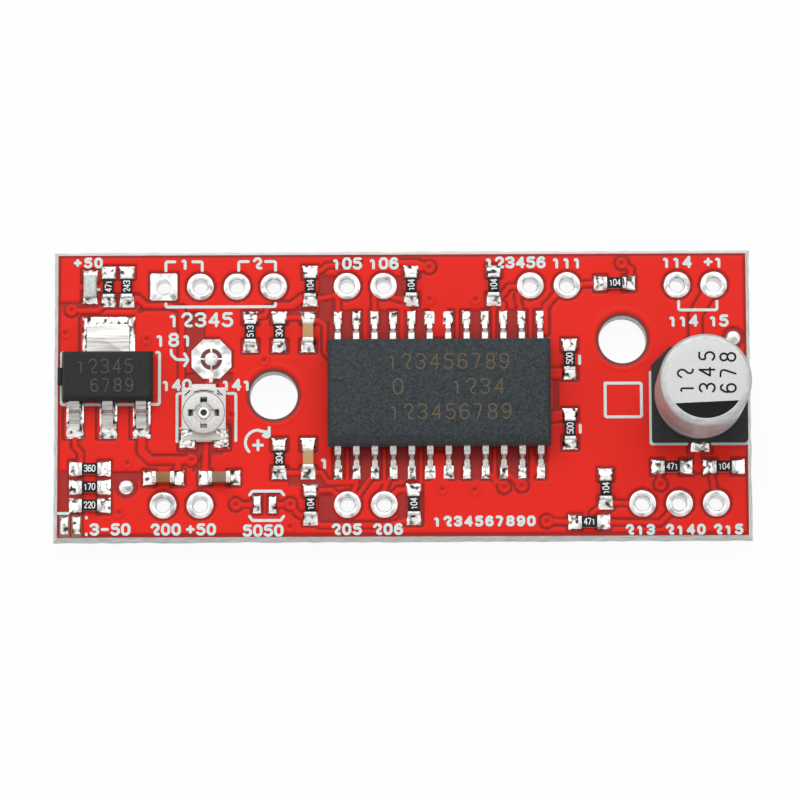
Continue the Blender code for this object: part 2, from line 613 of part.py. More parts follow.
def regulator():
    place = Vector((LEFT + REGULATOR_FROM_LEFT, REGULATOR_Y, BOARD_TOP + JOINT_GAP))
    lead_middle = REGULATOR_LEAD_RISE - JOINT_GAP + LEAD_THICKNESS / 2
    half = REGULATOR_SIZE[1] / 2
    outer_leads = (-REGULATOR_LEAD_PITCH, REGULATOR_LEAD_PITCH)

    for word, x in zip(("left", "right"), outer_leads):
        lead = regulator_lead(f"regulator_lead_{word}", -1, REGULATOR_LEAD_WIDTH)
        add_piece(f"regulator_lead_{word}", lead, place + Vector((x, 0, 0)), TIN)

    paddle = block_mesh("regulator_tab", REGULATOR_PADDLE)
    paddle.transform(Matrix.Translation((0, 0, lead_middle - REGULATOR_PADDLE[2] / 2)))
    tab = add_piece("regulator_tab", paddle, place, TIN)
    wing = regulator_lead("heat_tab", 1, REGULATOR_TAB_WIDTH)
    boolean(tab, add_cutter("heat_tab", wing, place), "UNION")
    centre_lead = regulator_lead("centre_lead", -1, REGULATOR_LEAD_WIDTH)
    boolean(tab, add_cutter("centre_lead", centre_lead, place), "UNION")
    neck_size = (REGULATOR_LEAD_WIDTH / 2, REGULATOR_SIZE[1] - REGULATOR_LEAD_BITE, LEAD_THICKNESS / 2)
    neck = block_mesh("tab_neck", neck_size)
    neck.transform(Matrix.Translation((0, 0, lead_middle - neck_size[2] / 2)))
    boolean(tab, add_cutter("tab_neck", neck, place), "UNION")

    die_floor = lead_middle + REGULATOR_PADDLE[2] / 2 + JOINT_GAP
    die = block_mesh("regulator_die", REGULATOR_DIE)
    add_piece("regulator_die", die, place + Vector((0, 0, die_floor)), SILICON)

    parting = lead_middle - REGULATOR_STANDOFF
    moulded = drafted_mesh("regulator_package", REGULATOR_SIZE, parting, REGULATOR_DRAFT)
    moulded.transform(Matrix.Translation((0, 0, REGULATOR_STANDOFF)))
    package = add_piece("regulator_package", moulded, place, MOULDING)
    gate = block_mesh("gate_stub", (2 * GATE_SIZE[0], GATE_SIZE[1], GATE_SIZE[2]))
    gate.transform(Matrix.Translation((-REGULATOR_SIZE[0] / 2, 0, lead_middle - GATE_SIZE[2] / 2)))
    boolean(package, add_cutter("gate_stub", gate, place), "UNION")
    reach = REGULATOR_LEAD_BITE + THROUGH
    pocket_y = half - REGULATOR_LEAD_BITE + reach / 2
    for number, x in enumerate((-REGULATOR_LEAD_PITCH, 0, REGULATOR_LEAD_PITCH)):
        size = (REGULATOR_LEAD_WIDTH, reach, LEAD_THICKNESS)
        centre = (x, -pocket_y, lead_middle)
        boolean(package, pocket(f"regulator_pocket_{number}", size, centre, place))
    tab_size = (REGULATOR_TAB_WIDTH, reach, LEAD_THICKNESS)
    boolean(package, pocket("heat_tab_pocket", tab_size, (0, pocket_y, lead_middle), place))
    boolean(package, pocket("tab_paddle_pocket", REGULATOR_PADDLE, (0, 0, lead_middle), place))
    boolean(package, pocket("tab_neck_pocket", neck_size, (0, 0, lead_middle), place))
    die_centre = (0, 0, die_floor + REGULATOR_DIE[2] / 2)
    boolean(package, pocket("regulator_die_pocket", REGULATOR_DIE, die_centre, place))


# --- Electrolytic capacitor ---


def capacitor_place():
    base_side = CAN_DIAMETER + 2 * CAP_BASE_MARGIN
    return Vector((RIGHT - CAP_EDGE_GAP - base_side / 2, CAP_Y, BOARD_TOP))


def can_profile(floor):
    """The can's closed section, from the middle of its top down the outside and back up the inside."""
    radius = CAN_DIAMETER / 2
    inner = radius - CAN_WALL
    bead = floor + CAN_BEAD_HEIGHT
    shoulder = [
        (
            radius - CAN_SHOULDER * (1 - math.sin(angle)),
            CAN_TOP - CAN_SHOULDER * (1 - math.cos(angle)),
        )
        for angle in [math.radians(step) for step in (0, 30, 60, 90)]
    ]
    outside = [
        (radius, bead + CAN_BEAD_HALF),
        (radius - CAN_BEAD_DEPTH, bead),
        (radius, bead - CAN_BEAD_HALF),
        (radius, floor),
    ]
    inside = [
        (inner, floor),
        (inner, bead - CAN_BEAD_HALF),
        (inner - CAN_BEAD_DEPTH, bead),
        (inner, bead + CAN_BEAD_HALF),
        (inner, CAN_TOP - CAN_WALL),
    ]
    return [(0, CAN_TOP)] + shoulder + outside + inside + [(0, CAN_TOP - CAN_WALL)]


def capacitor():
    place = capacitor_place()
    base_side = CAN_DIAMETER + 2 * CAP_BASE_MARGIN
    half = base_side / 2
    base_floor = JOINT_GAP
    cup_floor = base_floor + CAP_BASE_THICKNESS - CAP_CUP_DEPTH
    can_floor = cup_floor + JOINT_GAP

    turned_piece("capacitor_can", can_profile(can_floor), place, ALUMINIUM, 48)

    seal_radius = CAN_DIAMETER / 2 - CAN_WALL - CAN_BEAD_DEPTH - JOINT_GAP
    seal = cylinder_mesh("capacitor_seal", 2 * seal_radius, 0, SEAL_THICKNESS)
    seal_piece = add_piece("capacitor_seal", seal, place + Vector((0, 0, can_floor)), RUBBER)
    winding_floor = can_floor + SEAL_THICKNESS + JOINT_GAP
    winding_top = CAN_TOP - CAN_WALL - WINDING_HEADROOM
    winding_radius = seal_radius - WINDING_CLEARANCE
    winding = cylinder_mesh("capacitor_winding", 2 * winding_radius, 0, winding_top - winding_floor)
    winding_place = place + Vector((0, 0, winding_floor))
    winding_piece = add_piece("capacitor_winding", winding, winding_place, FOIL)

    base_mesh = outline_mesh(
        "capacitor_base",
        [
            (-half, -half),
            (half, -half),
            (half, half - CAP_BASE_CORNER),
            (half - CAP_BASE_CORNER, half),
            (CAP_BASE_CORNER - half, half),
            (-half, half - CAP_BASE_CORNER),
        ],
        CAP_BASE_THICKNESS,
    )
    base_mesh.transform(Matrix.Translation((0, 0, base_floor + CAP_BASE_THICKNESS / 2)))
    base = add_piece("capacitor_base", base_mesh, place, BLACK_PLASTIC)
    cup = cylinder_mesh("can_seat", CAN_DIAMETER + 2 * JOINT_GAP, cup_floor, cup_floor + THROUGH, 48)
    boolean(base, add_cutter("can_seat", cup, place))

    blade_reach = half + CAP_BLADE_OVERHANG - CAP_LEAD_PITCH / 2
    pin_top = winding_floor + SEAL_THICKNESS
    for word, side in (("positive", 1), ("negative", -1)):
        name = f"capacitor_lead_{word}"
        pin_place = place + Vector((0, side * CAP_LEAD_PITCH / 2, base_floor))
        blade = block_mesh(name, (CAP_BLADE_WIDTH, blade_reach + CAP_LEAD_DIAMETER, CAP_BLADE_THICKNESS))
        blade_y = side * (blade_reach - CAP_LEAD_DIAMETER) / 2
        blade.transform(Matrix.Translation((0, blade_y, 0)))
        lead = add_piece(name, blade, pin_place, TIN)
        pin = cylinder_mesh(f"{name}_pin", CAP_LEAD_DIAMETER, CAP_BLADE_THICKNESS / 2, pin_top, SMALL_STEPS)
        boolean(lead, add_cutter(f"{name}_pin", pin, pin_place), "UNION")
        hole_diameter = CAP_LEAD_DIAMETER + 2 * JOINT_GAP
        hole = cylinder_mesh(f"{name}_hole", hole_diameter, -THROUGH, pin_top + JOINT_GAP, SMALL_STEPS)
        hole_cutter = add_cutter(f"{name}_hole", hole, pin_place)
        for drilled in (base, seal_piece, winding_piece):
            boolean(drilled, hole_cutter)
        slot_size = (CAP_BLADE_WIDTH + 2 * JOINT_GAP, blade_reach + 2 * THROUGH, 2 * CAP_BLADE_THICKNESS)
        slot = block_mesh(f"{name}_slot", slot_size)
        slot_y = side * (slot_size[1] / 2 - CAP_LEAD_DIAMETER - JOINT_GAP)
        slot_floor = CAP_BLADE_THICKNESS + JOINT_GAP - slot_size[2]
        slot.transform(Matrix.Translation((0, slot_y, slot_floor)))
        boolean(base, add_cutter(f"{name}_slot", slot, pin_place))


# --- Current trimmer ---


def trimmer_heights():
    """Heights above the board's upper face of the base's floor, its top and the rotor's floor."""
    base_floor = JOINT_GAP + TRIMMER_SHEET + JOINT_GAP
    base_top = base_floor + TRIMMER_BASE_THICKNESS
    rotor_floor = base_top + TRACK_THICKNESS + JOINT_GAP + RUNNING_GAP
    return base_floor, base_top, rotor_floor


def trimmer_place():
    return Vector((LEFT + TRIMMER_FROM_LEFT, TRIMMER_Y, BOARD_TOP))


def clip_mesh(name, depth, lip, gap, width):
    """A stamped clip round a plate's edge: a foot under it, a wall and a lip over it, open to -Y."""
    sheet = TRIMMER_SHEET
    height = gap + 2 * sheet
    outline = [
        (-depth, 0),
        (sheet, 0),
        (sheet, height),
        (-lip, height),
        (-lip, height - sheet),
        (0, height - sheet),
        (0, sheet),
        (-depth, sheet),
    ]
    mesh = outline_mesh(name, outline, width)
    mesh.transform(Matrix(((0, 0, 1, 0), (1, 0, 0, 0), (0, 1, 0, 0), (0, 0, 0, 1))))
    return mesh


def trimmer_base():
    place = trimmer_place()
    base_floor, base_top, rotor_floor = trimmer_heights()
    depth = TRIMMER_FRONT + TRIMMER_BACK
    block = block_mesh("trimmer_base", (TRIMMER_WIDTH, depth, TRIMMER_BASE_THICKNESS))
    block.transform(Matrix.Translation((0, (TRIMMER_BACK - TRIMMER_FRONT) / 2, base_floor)))
    base = add_piece("trimmer_base", block, place, CERAMIC)

    stop_half = math.pi - ROTOR_TRAVEL - WIPER_HALF_ANGLE - STOP_SPARE_ANGLE
    sunk = TRIMMER_BASE_THICKNESS / 2
    stop_top = rotor_floor + STOP_GROOVE_DEPTH - RUNNING_GAP
    stop = sector_mesh(
        "stop_wall",
        STOP_GROOVE_INNER + RUNNING_GAP,
        STOP_GROOVE_OUTER - RUNNING_GAP,
        math.pi - stop_half,
        math.pi + stop_half,
        stop_top - base_top + sunk,
    )
    stop.transform(Matrix.Translation((0, 0, base_top - sunk)))
    boolean(base, add_cutter("stop_wall", stop, place), "UNION")

    hole_diameter = EYELET_SHANK + 2 * JOINT_GAP
    hole = cylinder_mesh("eyelet_hole", hole_diameter, -THROUGH, THROUGH, SMALL_STEPS)
    boolean(base, add_cutter("eyelet_hole", hole, place))


def trimmer_track():
    """The resistive arc, from one end terminal round the far side to the other."""
    base_top = trimmer_heights()[1]
    half_angle = ROTOR_TRAVEL + WIPER_HALF_ANGLE
    track = sector_mesh(
        "trimmer_track",
        STOP_GROOVE_INNER + RUNNING_GAP,
        STOP_GROOVE_OUTER - RUNNING_GAP,
        -half_angle,
        half_angle,
        TRACK_THICKNESS,
    )
    place = trimmer_place() + Vector((0, 0, base_top + JOINT_GAP))
    add_piece("trimmer_track", track, place, CARBON)


def trimmer_rotor():
    """A dished disc on the hinge axis: cross slot on top, stop groove below with the wiper across it."""
    rotor_floor = trimmer_heights()[2]
    place = trimmer_place() + Vector((0, 0, rotor_floor))
    top = ROTOR_THICKNESS
    bore = ROTOR_BORE / 2
    profile = [
        (bore, top - ROTOR_DISH_DEPTH),
        (ROTOR_DISH_RADIUS, top - ROTOR_DISH_DEPTH),
        (ROTOR_DISH_RADIUS, top),
        (ROTOR_RADIUS - ROTOR_EDGE, top),
        (ROTOR_RADIUS, top - ROTOR_EDGE),
        (ROTOR_RADIUS, 0),
        (STOP_GROOVE_OUTER, 0),
        (STOP_GROOVE_OUTER, STOP_GROOVE_DEPTH),
        (STOP_GROOVE_INNER, STOP_GROOVE_DEPTH),
        (STOP_GROOVE_INNER, 0),
        (bore, 0),
    ]
    rotor = turned_piece("trimmer_rotor", profile, place, TIN, closed=True)
    for word, size in (
        ("across", (ROTOR_SLOT_LENGTH, ROTOR_SLOT_WIDTH, THROUGH)),
        ("along", (ROTOR_SLOT_WIDTH, ROTOR_SLOT_LENGTH, THROUGH)),
    ):
        slot = block_mesh(f"rotor_slot_{word}", size)
        slot_place = place + Vector((0, 0, top - ROTOR_SLOT_DEPTH))
        boolean(rotor, add_cutter(f"rotor_slot_{word}", slot, slot_place))
    sunk = STOP_GROOVE_DEPTH / 2
    wiper = sector_mesh(
        "wiper",
        STOP_GROOVE_INNER - sunk,
        STOP_GROOVE_OUTER + sunk,
        -WIPER_HALF_ANGLE,
        WIPER_HALF_ANGLE,
        STOP_GROOVE_DEPTH + sunk + RUNNING_GAP / 2,
    )
    wiper_place = place - Vector((0, 0, RUNNING_GAP / 2))
    boolean(rotor, add_cutter("wiper", wiper, wiper_place), "UNION")


def trimmer_eyelet():
    """The hollow rivet that the rotor turns on."""
    rotor_floor = trimmer_heights()[2]
    shank = EYELET_SHANK / 2
    hole = EYELET_HOLE / 2
    flange_floor = rotor_floor + ROTOR_THICKNESS - ROTOR_DISH_DEPTH + RUNNING_GAP
    flange_top = flange_floor + EYELET_FLANGE_THICKNESS
    profile = [
        (hole, flange_top),
        (EYELET_FLANGE / 2, flange_top),
        (EYELET_FLANGE / 2, flange_floor),
        (shank, flange_floor),
        (shank, JOINT_GAP),
        (hole, JOINT_GAP),
    ]
    turned_piece("trimmer_eyelet", profile, trimmer_place(), TIN, SMALL_STEPS, closed=True)


def trimmer_wiper_terminal():
    """A clip over the base's far edge, with horns beside the rotor and a strip below to the eyelet."""
    name = "trimmer_wiper_terminal"
    place = trimmer_place() + Vector((0, 0, JOINT_GAP))
    gap = TRIMMER_BASE_THICKNESS + 2 * JOINT_GAP
    eyelet_side = EYELET_SHANK + 2 * EYELET_PAD_MARGIN
    foot_depth = TRIMMER_BACK + JOINT_GAP + eyelet_side / 2
    clip = clip_mesh(name, foot_depth, TRIMMER_SHEET, gap, TRIMMER_TAB_WIDTH)
    clip.transform(Matrix.Translation((0, TRIMMER_BACK + JOINT_GAP, 0)))
    terminal = add_piece(name, clip, place, TIN)

    plate_depth = TRIMMER_BACK + JOINT_GAP + TRIMMER_SHEET / 2 + TRIMMER_HORN_END
    plate_floor = TRIMMER_SHEET + gap
    plate = block_mesh("wiper_plate", (TRIMMER_WIDTH, plate_depth, WIPER_PLATE_THICKNESS))
    plate_y = TRIMMER_BACK + JOINT_GAP + TRIMMER_SHEET / 2 - plate_depth / 2
    plate.transform(Matrix.Translation((0, plate_y, plate_floor)))
    boolean(terminal, add_cutter("wiper_plate", plate, place), "UNION")
    swing = 2 * (ROTOR_RADIUS + RUNNING_GAP)
    sweep = cylinder_mesh("rotor_sweep", swing, plate_floor - JOINT_GAP / 2, THROUGH + plate_floor)
    boolean(terminal, add_cutter("rotor_sweep", sweep, place))
    hole_diameter = EYELET_SHANK + 2 * JOINT_GAP
    hole = cylinder_mesh("terminal_eyelet_hole", hole_diameter, -THROUGH, gap / 2, SMALL_STEPS)
    boolean(terminal, add_cutter("terminal_eyelet_hole", hole, place))


def trimmer_end_terminals():
    """The clips at the two corners of the base's near edge, one at each end of the track."""
    gap = TRIMMER_BASE_THICKNESS + 2 * JOINT_GAP
    for word, side in (("left", -1), ("right", 1)):
        name = f"trimmer_end_terminal_{word}"
        clip = clip_mesh(name, END_TERMINAL_WIDTH, END_TERMINAL_LIP, gap, END_TERMINAL_WIDTH)
        clip.transform(facing(-1))
        x = side * (TRIMMER_WIDTH - END_TERMINAL_WIDTH) / 2
        place = trimmer_place() + Vector((x, -TRIMMER_FRONT - JOINT_GAP, JOINT_GAP))
        add_piece(name, clip, place, TIN)


def trimmer():
    trimmer_base()
    trimmer_track()
    trimmer_rotor()
    trimmer_eyelet()
    trimmer_wiper_terminal()
    trimmer_end_terminals()


def main():
    circuit_board()
    chip_parts()
    power_light()
    driver_chip()
    regulator()
    capacitor()
    trimmer()


main()
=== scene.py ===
import math
import random

import bmesh
import bpy
import numpy as np
from mathutils import Matrix, Vector


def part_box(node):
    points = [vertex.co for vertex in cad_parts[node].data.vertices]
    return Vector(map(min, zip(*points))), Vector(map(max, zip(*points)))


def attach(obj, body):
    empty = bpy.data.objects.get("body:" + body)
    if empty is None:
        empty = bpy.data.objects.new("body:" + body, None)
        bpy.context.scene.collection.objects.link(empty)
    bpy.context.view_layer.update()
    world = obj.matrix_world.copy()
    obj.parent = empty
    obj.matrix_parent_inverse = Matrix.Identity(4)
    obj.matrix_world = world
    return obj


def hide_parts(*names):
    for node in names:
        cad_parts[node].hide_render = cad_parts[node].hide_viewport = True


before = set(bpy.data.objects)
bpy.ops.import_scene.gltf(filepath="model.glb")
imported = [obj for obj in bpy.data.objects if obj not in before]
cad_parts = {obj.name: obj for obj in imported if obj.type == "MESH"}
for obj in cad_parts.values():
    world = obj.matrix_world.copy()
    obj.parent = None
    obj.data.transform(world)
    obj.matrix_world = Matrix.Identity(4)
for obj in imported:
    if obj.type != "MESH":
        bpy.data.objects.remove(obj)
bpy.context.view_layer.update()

mm = 0.001
scene = bpy.context.scene
boardBody, rotorBody = "board_assembly", "trimmer_rotor"


def boxOf(node):
    low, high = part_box(node)
    return [v / mm for v in low], [v / mm for v in high]


def middle(node):
    low, high = boxOf(node)
    return (low[0] + high[0]) / 2, (low[1] + high[1]) / 2


boardLow, boardHigh = boxOf("circuit_board")
boardTop = boardHigh[2]
boardHalfX, boardHalfY = boardHigh[0], boardHigh[1]


def toLinear(hexColour):
    parts = [int(hexColour[i:i + 2], 16) / 255 for i in (1, 3, 5)]
    return tuple(p / 12.92 if p <= 0.04045 else ((p + 0.055) / 1.055) ** 2.4 for p in parts) + (1.0,)


def addNode(tree, kind, settings=None, **wires):
    # wires go to sockets by index ("i0") or by name with _ for a space; a socket as value makes a link
    node = tree.nodes.new(kind)
    for key, value in (settings or {}).items():
        setattr(node, key, value)
    for key, value in wires.items():
        if key[0] == "i" and key[1:].isdigit():
            socket = node.inputs[int(key[1:])]
        else:
            socket = node.inputs[key.replace("_", " ")]
        if isinstance(value, bpy.types.NodeSocket):
            tree.links.new(value, socket)
        else:
            socket.default_value = value
    return node


def newMaterial(name, base, roughness=0.5, metallic=0.0, **more):
    # returns the material, its tree and its shader, ready for a pattern
    made = bpy.data.materials.new(name)
    made.use_nodes = True
    tree = made.node_tree
    shader = tree.nodes["Principled BSDF"]
    shader.inputs["Base Color"].default_value = toLinear(base)
    shader.inputs["Roughness"].default_value = roughness
    shader.inputs["Metallic"].default_value = metallic
    for key, value in more.items():
        shader.inputs[key.replace("_", " ")].default_value = value
    return made, tree, shader


def blotches(tree, sizeMm, detail=2.0, stretch=(1, 1, 1)):
    # noise whose grains are about sizeMm across
    place = addNode(tree, "ShaderNodeTexCoord").outputs["Object"]
    turned = addNode(tree, "ShaderNodeMapping", i0=place, Scale=stretch).outputs[0]
    return addNode(tree, "ShaderNodeTexNoise", Vector=turned, Scale=1 / (sizeMm * mm),
                   Detail=detail).outputs[0]


def tones(tree, factor, *stops):
    # colour ramp from (position, hex) pairs
    ramp = addNode(tree, "ShaderNodeValToRGB", Fac=factor)
    points = ramp.color_ramp.elements
    while len(points) < len(stops):
        points.new(0.5)
    for point, (at, colour) in zip(points, stops):
        point.position = at
        point.color = toLinear(colour)
    return ramp.outputs[0]


def roughen(tree, shader, height, depthMm):
    bump = addNode(tree, "ShaderNodeBump", Strength=1.0, Distance=depthMm * mm, Height=height)
    tree.links.new(bump.outputs[0], shader.inputs["Normal"])


def plain(name, grain, tonesList, rough, metallic=0.0, bumpMm=0.004, detail=3.0, stretch=(1, 1, 1), **more):
    # a finish made of one noise: tones, a little change of gloss, and a fine bump
    made, tree, shader = newMaterial(name, tonesList[0], rough[0], metallic, **more)
    noise = blotches(tree, grain, detail, stretch)
    steps = [(0.32 + 0.36 * i / max(1, len(tonesList) - 1), c) for i, c in enumerate(tonesList)]
    tree.links.new(tones(tree, noise, *steps), shader.inputs["Base Color"])
    tree.links.new(addNode(tree, "ShaderNodeMapRange", Value=noise, To_Min=rough[0],
                           To_Max=rough[1]).outputs[0], shader.inputs["Roughness"])
    roughen(tree, shader, noise, bumpMm)
    return made


# solder mask: red epoxy film flowed over copper and laminate, so it is bright on copper, darker between,
# glossy, with painted shade: a dark line painted just outside each copper edge, in each via's dip and near the
# film's border
def makeMask():
    made, tree, shader = newMaterial("solder_mask_red_epoxy_with_painted_step_shade", "#E52D22", 0.3, 0.0, Specular_IOR_Level=0.14)
    copper = addNode(tree, "ShaderNodeAttribute", {"attribute_name": "copper"}).outputs["Fac"]
    edge = addNode(tree, "ShaderNodeAttribute", {"attribute_name": "edge"}).outputs["Fac"]
    over = tones(tree, copper, (0.0, "#AC302C"), (0.35, "#B4332E"), (0.7, "#E8241A"), (1.0, "#EE281C"))
    cloud = blotches(tree, 3.0, 3.0)
    shade = addNode(tree, "ShaderNodeMix", {"data_type": "RGBA", "blend_type": "MULTIPLY"},
                    i0=addNode(tree, "ShaderNodeMapRange", Value=cloud, To_Min=0.0,
                               To_Max=0.22).outputs[0], i6=over, i7=toLinear("#E8C8C0")).outputs[2]
    # painted shade: the edge attribute darkens the colour along the copper steps, the via dips and the film's
    # border
    dark = addNode(tree, "ShaderNodeMix", {"data_type": "RGBA"}, i0=edge, i6=shade,
                   i7=toLinear("#8E1812")).outputs[2]
    tree.links.new(dark, shader.inputs["Base Color"])
    peel = blotches(tree, 0.5, 2.0)
    tree.links.new(addNode(tree, "ShaderNodeMapRange", Value=cloud, To_Min=0.26, To_Max=0.4).outputs[0],
                   shader.inputs["Roughness"])
    roughen(tree, shader, peel, 0.006)
    return made


# glass-epoxy laminate: snapped edge, pale grey with broken glass fibres lying along the board
def makeLaminate():
    made, tree, shader = newMaterial("glass_epoxy_laminate", "#C9C6BE", 0.7)
    layers = blotches(tree, 0.3, 3.0, (0.3, 0.3, 3.0))
    tree.links.new(tones(tree, layers, (0.3, "#B4B4B0"), (0.5, "#D6D6D3"), (0.7, "#EEEEED")),
                   shader.inputs["Base Color"])
    roughen(tree, shader, blotches(tree, 0.12, 5.0), 0.03)
    return made


# epoxy ink printed through a screen: pale blue-white, slightly uneven film
def makeInk():
    made, tree, shader = newMaterial("screen_ink_white_epoxy", "#D5ECEA", 0.5)
    noise = blotches(tree, 0.1, 3.0)
    tree.links.new(tones(tree, noise, (0.3, "#C6DFDD"), (0.6, "#DCEFED")), shader.inputs["Base Color"])
    roughen(tree, shader, noise, 0.01)
    return made


# transfer-moulded epoxy with silica filler: dull blue-black, with pale filler specks
def makeMoulding(name, dark, light, speck):
    made, tree, shader = newMaterial(name, dark, 0.62, 0.0, Specular_IOR_Level=0.18)
    grain = blotches(tree, 0.13, 4.0)
    base = tones(tree, grain, (0.35, dark), (0.65, light))
    specks = addNode(tree, "ShaderNodeTexVoronoi", {"feature": "F1"},
                     Vector=addNode(tree, "ShaderNodeTexCoord").outputs["Object"], Scale=1 / (0.3 * mm))
    spot = addNode(tree, "ShaderNodeMapRange", Value=specks.outputs["Distance"], From_Min=0.03, From_Max=0.16,
                   To_Min=0.75, To_Max=0.0).outputs[0]
    mixed = addNode(tree, "ShaderNodeMix", {"data_type": "RGBA"}, i0=spot, i6=base,
                    i7=toLinear(speck)).outputs[2]
    tree.links.new(mixed, shader.inputs["Base Color"])
    tree.links.new(addNode(tree, "ShaderNodeMapRange", Value=grain, To_Min=0.5, To_Max=0.75).outputs[0],
                   shader.inputs["Roughness"])
    roughen(tree, shader, grain, 0.012)
    return made


finish = {
    "mask": makeMask(),
    "laminate": makeLaminate(),
    "ink": makeInk(),
    "moulding": makeMoulding("driver_moulding_epoxy", "#272B2E", "#434A4D", "#5E676A"),
    "regulatorMoulding": makeMoulding("regulator_moulding_epoxy", "#202222", "#2C2E2F", "#3C4042"),
    # hot-air levelled tin: bright, slightly wavy metal
    "tin": plain("tin_hot_air_levelled", 0.6, ("#A2A1A0", "#CDCDCC", "#DBDBDB"), (0.16, 0.32), 1.0, 0.02,
                 1.5),
    # reflowed solder: mirror-like metal with lumps; its near-black tones, laid at random by noise, are painted
    # shade and dark reflection together with dull grains
    "solder": plain("solder_reflowed_painted_dark_reflection", 0.42, ("#2E2C2A", "#8F8C88", "#DAD9D6", "#E6E5E3", "#EAEAE9"), (0.16,
            0.3), 1.0, 0.03, 1.2),
    # bare laminate seen where the mask was pulled back
    "bareRim": plain("laminate_bare_rim", 0.2, ("#551912", "#6B2418"), (0.45, 0.6), 0.0, 0.01),
    # tinned copper alloy, stamped: satin with faint rolling lines along the strip
    "leadTin": plain("lead_tinned_copper_alloy", 0.12, ("#A7A5A1", "#C9C8C5"), (0.2, 0.38), 1.0, 0.01),
    "tabTin": plain("tab_rolled_tinned_copper", 0.14, ("#8E8C88", "#A9A7A4", "#BFBEBC"), (0.24, 0.42), 1.0,
                    0.012,
                    4.0, (0.05, 1, 1)),
    # laser mark on moulding: the epoxy is scorched to a dull tan
    "driverMark": plain("laser_mark_tan", 0.08, ("#564A38", "#685B45"), (0.7, 0.85), 0.0, 0.01),
    "regulatorMark": plain("laser_mark_grey", 0.08, ("#41423F", "#505049"), (0.7, 0.85), 0.0, 0.01),
    # drawn aluminium can: satin, with fine lines round it from drawing
    "can": plain("aluminium_drawn_can", 0.12, ("#A4A4A4", "#B6B6B6", "#C4C4C4"), (0.34, 0.48), 0.5, 0.006,
                 4.0,
                 (0.2, 0.2, 3.0)),
    "canTop": plain("aluminium_laminated_top", 0.08, ("#CBCBCB", "#D3D3D3", "#DADADA"), (0.45, 0.6), 0.1,
                    0.004),
    "canInk": plain("can_ink_black", 0.08, ("#0B0B0B", "#131313"), (0.5, 0.6), 0.0, 0.005,
                    Specular_IOR_Level=0.12),
    # glass-filled nylon seat: dull black with pale flecks
    "seat": makeMoulding("seat_glass_filled_nylon", "#262627", "#343435", "#4A4A4B"),
    "alumina": plain("alumina_fired", 0.06, ("#D2CFC4", "#E4E1D8"), (0.4, 0.55), 0.0, 0.006),
    "overcoat": plain("resistor_overcoat_glass", 0.08, ("#0E0F10", "#18191B"), (0.3, 0.42), 0.0, 0.008,
                      Specular_IOR_Level=0.16),
    "termination": plain("termination_nickel_tin", 0.1, ("#9D9C99", "#D0CFCD"), (0.22, 0.4), 1.0, 0.012),
    "numberInk": plain("number_ink_white", 0.05, ("#F2F2F0", "#FFFFFF"), (0.5, 0.6), 0.0, 0.002),
    "tan": plain("ceramic_tan_dielectric", 0.07, ("#B68B57", "#C89D68"), (0.35, 0.5), 0.0, 0.005),
    "brown": plain("ceramic_brown_dielectric", 0.07, ("#7A5F45", "#8C7156"), (0.35, 0.5), 0.0, 0.005),
    "amber": plain("ceramic_amber_dielectric", 0.07, ("#7E5320", "#94652C"), (0.3, 0.45), 0.0, 0.005),
    # nickel-plated stamped steel: pale satin
    "trimmerMetal": plain("trimmer_nickel_plate", 0.08, ("#B9B7B4", "#C9C7C4", "#D5D3D0"), (0.4, 0.55), 0.35,
                          0.006),
    "eyelet": plain("eyelet_bright_nickel", 0.1, ("#CDCBC8", "#E6E5E3"), (0.15, 0.28), 1.0, 0.008),
    # black carbon finish of the track, also used for the plug of painted shade in the rivet's bore
    "carbonAndBoreShade": plain("carbon_cermet_track_and_painted_bore_shade", 0.05, ("#141312", "#24221F"), (0.5, 0.7), 0.0, 0.006),
    "lens": plain("light_resin_milky", 0.12, ("#B4BCB8", "#CBD2CE", "#DCE2DE"), (0.25, 0.4), 0.0, 0.01),
    "brownGap": plain("bare_laminate_brown", 0.1, ("#7B5A44", "#94705A"), (0.5, 0.65), 0.0, 0.01),
    "silicon": plain("silicon_die", 0.3, ("#3A3B42", "#4A4B55"), (0.12, 0.2), 0.6, 0.001),
    "rubber": plain("rubber_seal_black", 0.1, ("#131313", "#1D1D1D"), (0.75, 0.9), 0.0, 0.01),
    "foil": plain("foil_and_paper_winding", 0.05, ("#9C9480", "#C4BDAA"), (0.5, 0.7), 0.3, 0.01, 2.0, (1, 1,
            0.1)),
}
print("finishes made", len(finish))


def inScene(name, data):
    made = bpy.data.objects.new(name, data)
    scene.collection.objects.link(made)
    return made


def keepPiece(name, mesh, nodes=(), body=boardBody):
    piece = inScene(name, mesh)
    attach(piece, body)
    if nodes:
        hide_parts(*nodes)


def asMesh(name, bm, finishes, smoothAngle=40):
    # bm holds millimetres
    bmesh.ops.transform(bm, matrix=Matrix.Scale(mm, 4), verts=bm.verts)
    bmesh.ops.recalc_face_normals(bm, faces=bm.faces)
    mesh = bpy.data.meshes.new(name)
    bm.to_mesh(mesh)
    bm.free()
    for key in finishes:
        mesh.materials.append(finish[key])
    mesh.shade_smooth()
    mesh.set_sharp_from_angle(angle=math.radians(smoothAngle))
    return mesh


def loft(bm, loops, finishIndex=0, ringClosed=False):
    # joins loops of equal length, one after another, then caps the ends or closes the ring
    rings = [[bm.verts.new(p) for p in loop] for loop in loops]
    count = len(rings[0])
    pairs = list(zip(rings, rings[1:])) + ([(rings[-1], rings[0])] if ringClosed else [])
    faces = []
    for a, b in pairs:
        for i in range(count):
            j = (i + 1) % count
            faces.append(bm.faces.new((a[i], a[j], b[j], b[i])))
    if not ringClosed:
        faces.append(bm.faces.new(list(reversed(rings[0]))))
        faces.append(bm.faces.new(rings[-1]))
    for face in faces:
        face.material_index = finishIndex


